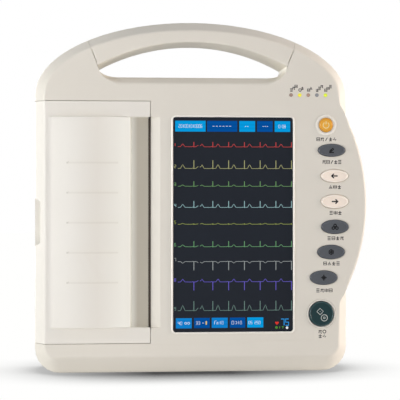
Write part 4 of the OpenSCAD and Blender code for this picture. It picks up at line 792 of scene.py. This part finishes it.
# Each key's row: its strokes, the first one's x and z, and their pitch. The start key has two rows.
KEY_ROWS = [([2, 7, -1, 6, 3], 131.0, 243.4, 4.3), ([7, 2, -1, 6, 5], 137.2, 219.7, 4.1),
            ([4, 1, 6], 144.0, 193.6, 4.6), ([5, 1, 6], 144.6, 166.6, 4.6),
            ([5, 2, 6, 7], 142.4, 140.1, 4.55), ([2, 4, 6, 5], 138.2, 113.8, 4.55),
            ([5, 7, 1, 2], 130.6, 85.7, 4.5), ([7, 0], 133.0, 42.7, 4.4), ([6, 3], 133.0, 38.1, 4.4)]
key_rows = [line for row in KEY_ROWS for line in legend(*row, 3.9)]
drawn("key_legends", key_rows, 1.0, FACE_Y, legend_ink, rise=0.03)
lamp_rows = []
for i, picks in enumerate([[5, 7, 2], [0, 6], [2, 4], [6, 5, 7], [2, 1, 5]]):
    lamp_rows += legend(picks, LAMP_X + 0.3 + i * LAMP_PITCH, 294.6, 3.1, 3.2, math.radians(38))
drawn("lamp_legends", lamp_rows, 0.95, FACE_Y, legend_ink, rise=0.03)
wing_bead = [(154.9, 256.5), (160.2, 255.8), (163.4, 252.1), (169.3, 229.1), (172.6, 218.7), (176.3, 190.5),
             (175.6, 161.2), (171.2, 134.0), (162.7, 106.3), (153.1, 82.9), (148.3, 73.5)]
low_bead = [(126.5, 44.4), (126.5, 33.5), (61.9, 33.9), (51.0, 30.0), (-43.0, 30.7)]
drawn("witness_beads", [wing_bead, low_bead], 0.5, FACE_Y, casing_abs, rise=0.16)


# ---- Printer door ----
# A thinner moulding with a finer skin: the dome over the paper with five ribs for the fingers, the ledge, and
# the catch. Its colour holds a painted highlight on the dome's right side, and painted shade over the ledge
# and along the ribs. It rolls on two folded steel runners.
door_abs = moulded("pale ABS, fine skin", "EBE7DC", "E7E3D8", 0.42, 0.6, 0.02)
# Middle height and half height of the dome and the ledge, and the ribs' pitch and start.
MIDDLE_Z, HALF_TALL, RIB_PITCH, RIB_X = 157.0, 108.5, 30.8, -129.6
# Where the painted highlight and the painted ledge shade each begin and are full, then the middle, half
# length and half height of the painted shade along the ribs, and the half width of its line.
PAINTED_HIGHLIGHT_X, PAINTED_LEDGE_SHADE_X = (-99 * MM, -73 * MM), (-65.2 * MM, -57.2 * MM)
RIB_SHADE_X, RIB_SHADE_LONG, RIB_SHADE_TALL, RIB_SHADE_WIDE = -104, 26.5, 65, 0.9
tree = door_abs.node_tree
skin = tree.nodes["Principled BSDF"]
moulding_tone = skin.inputs["Base Color"].links[0].from_socket
place = add_node(tree, "SeparateXYZ", {"Vector": tree.nodes["Texture Coordinate"].outputs["Object"]})
across, up = place.outputs["X"], place.outputs["Z"]
tall = math_node(tree, "COMPARE", up, MIDDLE_Z * MM, HALF_TALL * MM)
# The dome's right side is made paler as a painted highlight, and beyond it the ledge is made darker as
# painted shade.
painted_highlight = add_node(tree, "MapRange", {"Value": across, "From Min": PAINTED_HIGHLIGHT_X[0], "From Max": PAINTED_HIGHLIGHT_X[1]})
painted_highlight = math_node(tree, "MULTIPLY", painted_highlight.outputs["Result"], tall)
painted_ledge_shade = add_node(tree, "MapRange", {"Value": across, "From Min": PAINTED_LEDGE_SHADE_X[0],
                                      "From Max": PAINTED_LEDGE_SHADE_X[1], "To Max": 0.8})
painted_ledge_shade = math_node(tree, "MULTIPLY", painted_ledge_shade.outputs["Result"], tall)
# Painted light: F4F4EA is the dome's painted highlight, and A99F8A the ledge's painted shade.
tone = mix(tree, painted_ledge_shade, mix(tree, painted_highlight, moulding_tone, "F4F4EA"), "A99F8A")
# Painted shade lies along the foot of each rib, as the shadow under it, darkest where the rib starts.
along = math_node(tree, "COMPARE", across, RIB_SHADE_X * MM, RIB_SHADE_LONG * MM)
first = math_node(tree, "COMPARE", across, RIB_X * MM, RIB_SHADE_WIDE * MM)
among = math_node(tree, "COMPARE", up, MIDDLE_Z * MM, RIB_SHADE_TALL * MM)
foot = math_node(tree, "SUBTRACT", up, (MIDDLE_Z - 0.3) * MM)
foot = math_node(tree, "PINGPONG", foot, RIB_PITCH / 2 * MM)
foot = math_node(tree, "MULTIPLY", math_node(tree, "LESS_THAN", foot, RIB_SHADE_WIDE * MM), among)
rib_shade = math_node(tree, "MULTIPLY", math_node(tree, "MULTIPLY_ADD", first, 2.2, along), foot)
# C0BAAC is the painted shade under the ribs.
tone = mix(tree, math_node(tree, "MULTIPLY", rib_shade, 0.17), tone, "C0BAAC")
tree.links.new(tone, skin.inputs["Base Color"])

# The door's left bevel, the ledge's left side, its right side by the slot with its depth, the dome's
# ends, and the depth and size of the stops on it.
BEVEL_X, LEDGE_X, SLOT_X, LEDGE_Y, DOME_ENDS = -153, -65.5, -46.2, -38.0, (48.2, 265.8)
STOP_Y, STOP_R = -48.0, 0.95
bm = bench_copy("printer_door")
ease(bm, 2.0, lambda p, low, high: on_face(p) and p.x < BEVEL_X and fronts(low) and slopes(high, 0.7))
ease(bm, 2.4, lambda p, low, high: near(p.y, BAND_Y) and slopes(low, 0.7) and walls(high))
ease(bm, 3.4, lambda p, low, high: LEDGE_X < p.x < LEDGE_X + 0.5 and on_face(p) and low < -0.8, 6)
ease(bm, 0.8, lambda p, low, high: near(p.x, SLOT_X) and near(p.y, LEDGE_Y) and fronts(low))
ease(bm, 1.0, lambda p, low, high: p.y < FACE_Y - 0.05 and low < -0.8 and walls(high)
     and any(near(p.z, end) for end in DOME_ENDS))
ease(bm, 0.4, lambda p, low, high: near(p.y, FACE_Y, 0.05) and fronts(low) and walls(high), 2)
to_piece(bm, "door_shell", "door", door_abs, ["printer_door"])
# A small round stop starts each rib.
bm = bmesh.new()
for i in range(5):
    stop = Matrix.Translation((RIB_X + 1, STOP_Y, MIDDLE_Z + (i - 2) * RIB_PITCH))
    bmesh.ops.create_uvsphere(bm, u_segments=16, v_segments=8, radius=STOP_R, matrix=stop)
to_piece(bm, "rib_stops", "door", door_abs)
dress("door_latch", door_abs, 0.4)
# The latch's travel of 3 mm leaves the spring 4 of its 7 mm.
coil = springs("latch_spring", [(-24.9, 157)], -154.9, -147.9, 1.85, 0.6, 5, "door", music_wire)
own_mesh(coil)
dress("door_runners", galvanised, 0.15)
dress("door_guides", acetal, 0.3)


# ---- Platen ----
# A ground steel shaft in two oil filled bronze bushes, which a folded bracket holds inside the door. Its
# sleeve is black nitrile rubber, ground true after it is cured, which leaves it dull.
nitrile = moulded("ground nitrile rubber", "2E2E2F", "272728", 0.62, 0.5, 0.04)
sintered = metal("sintered bronze", "B08A5A", "96744A", 0.42, 0.5, depth=0.05)
dress("platen_bracket", galvanised, 0.15)
dress("platen_bushes", sintered, 0.2)
dress("platen_shaft", ground_steel, 0.2)
dress("platen_rubber", nitrile, 0.25)


# ---- Handle ----
# The grip is its own hollow moulding between the two posts of the casing, and it is screwed to each.
# Its lower edge is rounded for the hand.
GRIP_BACK_Y, GRIP_OUTER_Z = -6.0, 345
bm = bench_copy("handle_grip")
ease(bm, 2.0, lambda p, low, high: on_face(p) and fronts(low) and slopes(high, 0.7))
ease(bm, 2.4, lambda p, low, high: near(p.y, BAND_Y) and slopes(low, 0.7) and walls(high))
ease(bm, 1.6, lambda p, low, high: on_face(p) and fronts(low) and walls(high))
ease(bm, 2.4, lambda p, low, high: near(p.y, GRIP_BACK_Y) and p.z > GRIP_OUTER_Z
     and high > 0.6 and walls(low))
to_piece(bm, "handle_shell", "base", casing_abs, ["handle_grip"])


# ---- Screws, battery cover and feet ----
# Zinc plated steel screws hold the halves and the inner frames. The cover snaps over the battery, and
# four rubber feet let the machine lie on its back.
zinc = metal("zinc plated screw", "C4C4BF", "ADADA7", 0.3, 1.4)
foot_rubber = moulded("grey black rubber", "38383A", "303032", 0.7, 0.6, 0.05)
for node in ("handle_screws", "case_screws", "inner_screws"):
    dress(node, zinc)
dress("battery_cover", rear_abs, 0.5)
dress("rear_feet", foot_rubber, 0.8)


# ---- Floor, lights and camera ----
# A white paper floor that fades into the backdrop. Soft boxes stand on the left and, warmer and
# stronger, on the right, with a low strip in front, a weak box above and two behind the casing.
world = bpy.data.worlds.new("studio")
bpy.context.scene.world = world
world.use_nodes = True
tree = world.node_tree
tree.nodes.clear()
path = add_node(tree, "LightPath")
seen = math_node(tree, "MAXIMUM", path.outputs["Is Camera Ray"], path.outputs["Is Glossy Ray"])
seen = math_node(tree, "MAXIMUM", seen, path.outputs["Is Transmission Ray"])
room = add_node(tree, "Background", {"Color": linear("FFFFFF"), "Strength": 0.05})
backdrop = add_node(tree, "Background", {"Color": linear("FFFFFF"), "Strength": 1.0})
mixed = add_node(tree, "MixShader", {0: seen, 1: room.outputs[0], 2: backdrop.outputs[0]})
add_node(tree, "OutputWorld", {"Surface": mixed.outputs[0]})

# Each soft box: its name, place, size and power, and its colour. All of them face the casing's middle.
AIM = Vector((0, 0, 0.18))
LIGHTS = [("left_soft_box", (-1.6, -0.55, 0.22), (0.9, 0.9), 17.2, "FFFFFF"),
          ("right_soft_box", (2.6, -0.3, 0.3), (1.2, 1.2), 78, "FFF1E9"),
          ("low_front_box", (-0.9, -1.8, 0.15), (1.0, 0.3), 10.4, "F8F8FF"),
          ("top_box", (0, -0.6, 1.6), (1.4, 1.4), 6.8, "F8F8FF"),
          ("left_back_box", (-1.3, 1.7, 0.5), (1.0, 1.0), 14, "FFFFFF"),
          ("right_back_box", (1.3, 1.7, 0.5), (1.0, 1.0), 14, "FFFFFF")]
for name, place, size, power, colour in LIGHTS:
    light = bpy.data.lights.new(name, "AREA")
    light.shape = "RECTANGLE"
    light.size, light.size_y = size
    light.energy = power
    light.color = linear(colour)[:3]
    made = bpy.data.objects.new(name, light)
    bpy.context.scene.collection.objects.link(made)
    made.location = place
    made.rotation_euler = (AIM - Vector(place)).to_track_quat("-Z", "Y").to_euler()

bm = bmesh.new()
bmesh.ops.create_grid(bm, x_segments=1, y_segments=1, size=6.0)
mesh = bpy.data.meshes.new("floor")
bm.to_mesh(mesh)
bm.free()
floor = bpy.data.objects.new("floor", mesh)
bpy.context.scene.collection.objects.link(floor)
paper, tree, place = new_finish("white background paper")
tooth = add_node(tree, "TexNoise", {"Vector": place, "Scale": 400.0})
white = mix(tree, tooth.outputs["Fac"], "F6F6F5", "F2F2F1")
diffuse = add_node(tree, "BsdfDiffuse", {"Color": white})
# The camera sees the paper's white dimmed near the casing, most under its middle: a painted contact shadow,
# taken from ambient occlusion. Other rays see a plain matt sheet that throws back a little more than the
# lights give it.
close = add_node(tree, "AmbientOcclusion", {"Distance": 0.11}, samples=16)
spot = add_node(tree, "SeparateXYZ", {"Vector": place})
aside = math_node(tree, "ABSOLUTE", spot.outputs["X"])
least = add_node(tree, "MapRange", {"Value": aside, "From Min": 0.04, "From Max": 0.19,
                                    "To Min": 0.08, "To Max": 0.62})
clear = add_node(tree, "MapRange", {"Value": close.outputs["AO"], "From Min": 0.5, "From Max": 0.93,
                                    "To Min": least.outputs["Result"], "To Max": 1.0})
glow = add_node(tree, "Emission", {"Color": linear("FFFFFE"), "Strength": clear.outputs["Result"]})
path = add_node(tree, "LightPath")
seen = math_node(tree, "MAXIMUM", path.outputs["Is Camera Ray"], path.outputs["Is Glossy Ray"])
bounce = add_node(tree, "Emission", {"Color": linear("F1F4FF"), "Strength": 0.17})
table = add_node(tree, "AddShader", {0: diffuse.outputs[0], 1: bounce.outputs[0]})
mixed = add_node(tree, "MixShader", {0: seen, 1: table.outputs[0], 2: glow.outputs[0]})
add_node(tree, "OutputMaterial", {"Surface": mixed.outputs[0]})
floor.data.materials.append(paper)

# The camera looks at this point on the face from this far away, in metres, a little from the left.
LOOK_AT, AWAY = (0.0072, -0.042, 0.180), 1.4
camera = bpy.data.cameras.new("camera")
camera.sensor_width = 36.0
camera.lens = 121.6
eye = bpy.data.objects.new("camera", camera)
bpy.context.scene.collection.objects.link(eye)
turn = math.radians(4.5)
eye.location = (LOOK_AT[0] - AWAY * math.sin(turn), LOOK_AT[1] - AWAY * math.cos(turn), LOOK_AT[2])
eye.rotation_euler = (math.radians(90), 0, -turn)
bpy.context.scene.camera = eye
bpy.context.scene.view_settings.view_transform = "Standard"
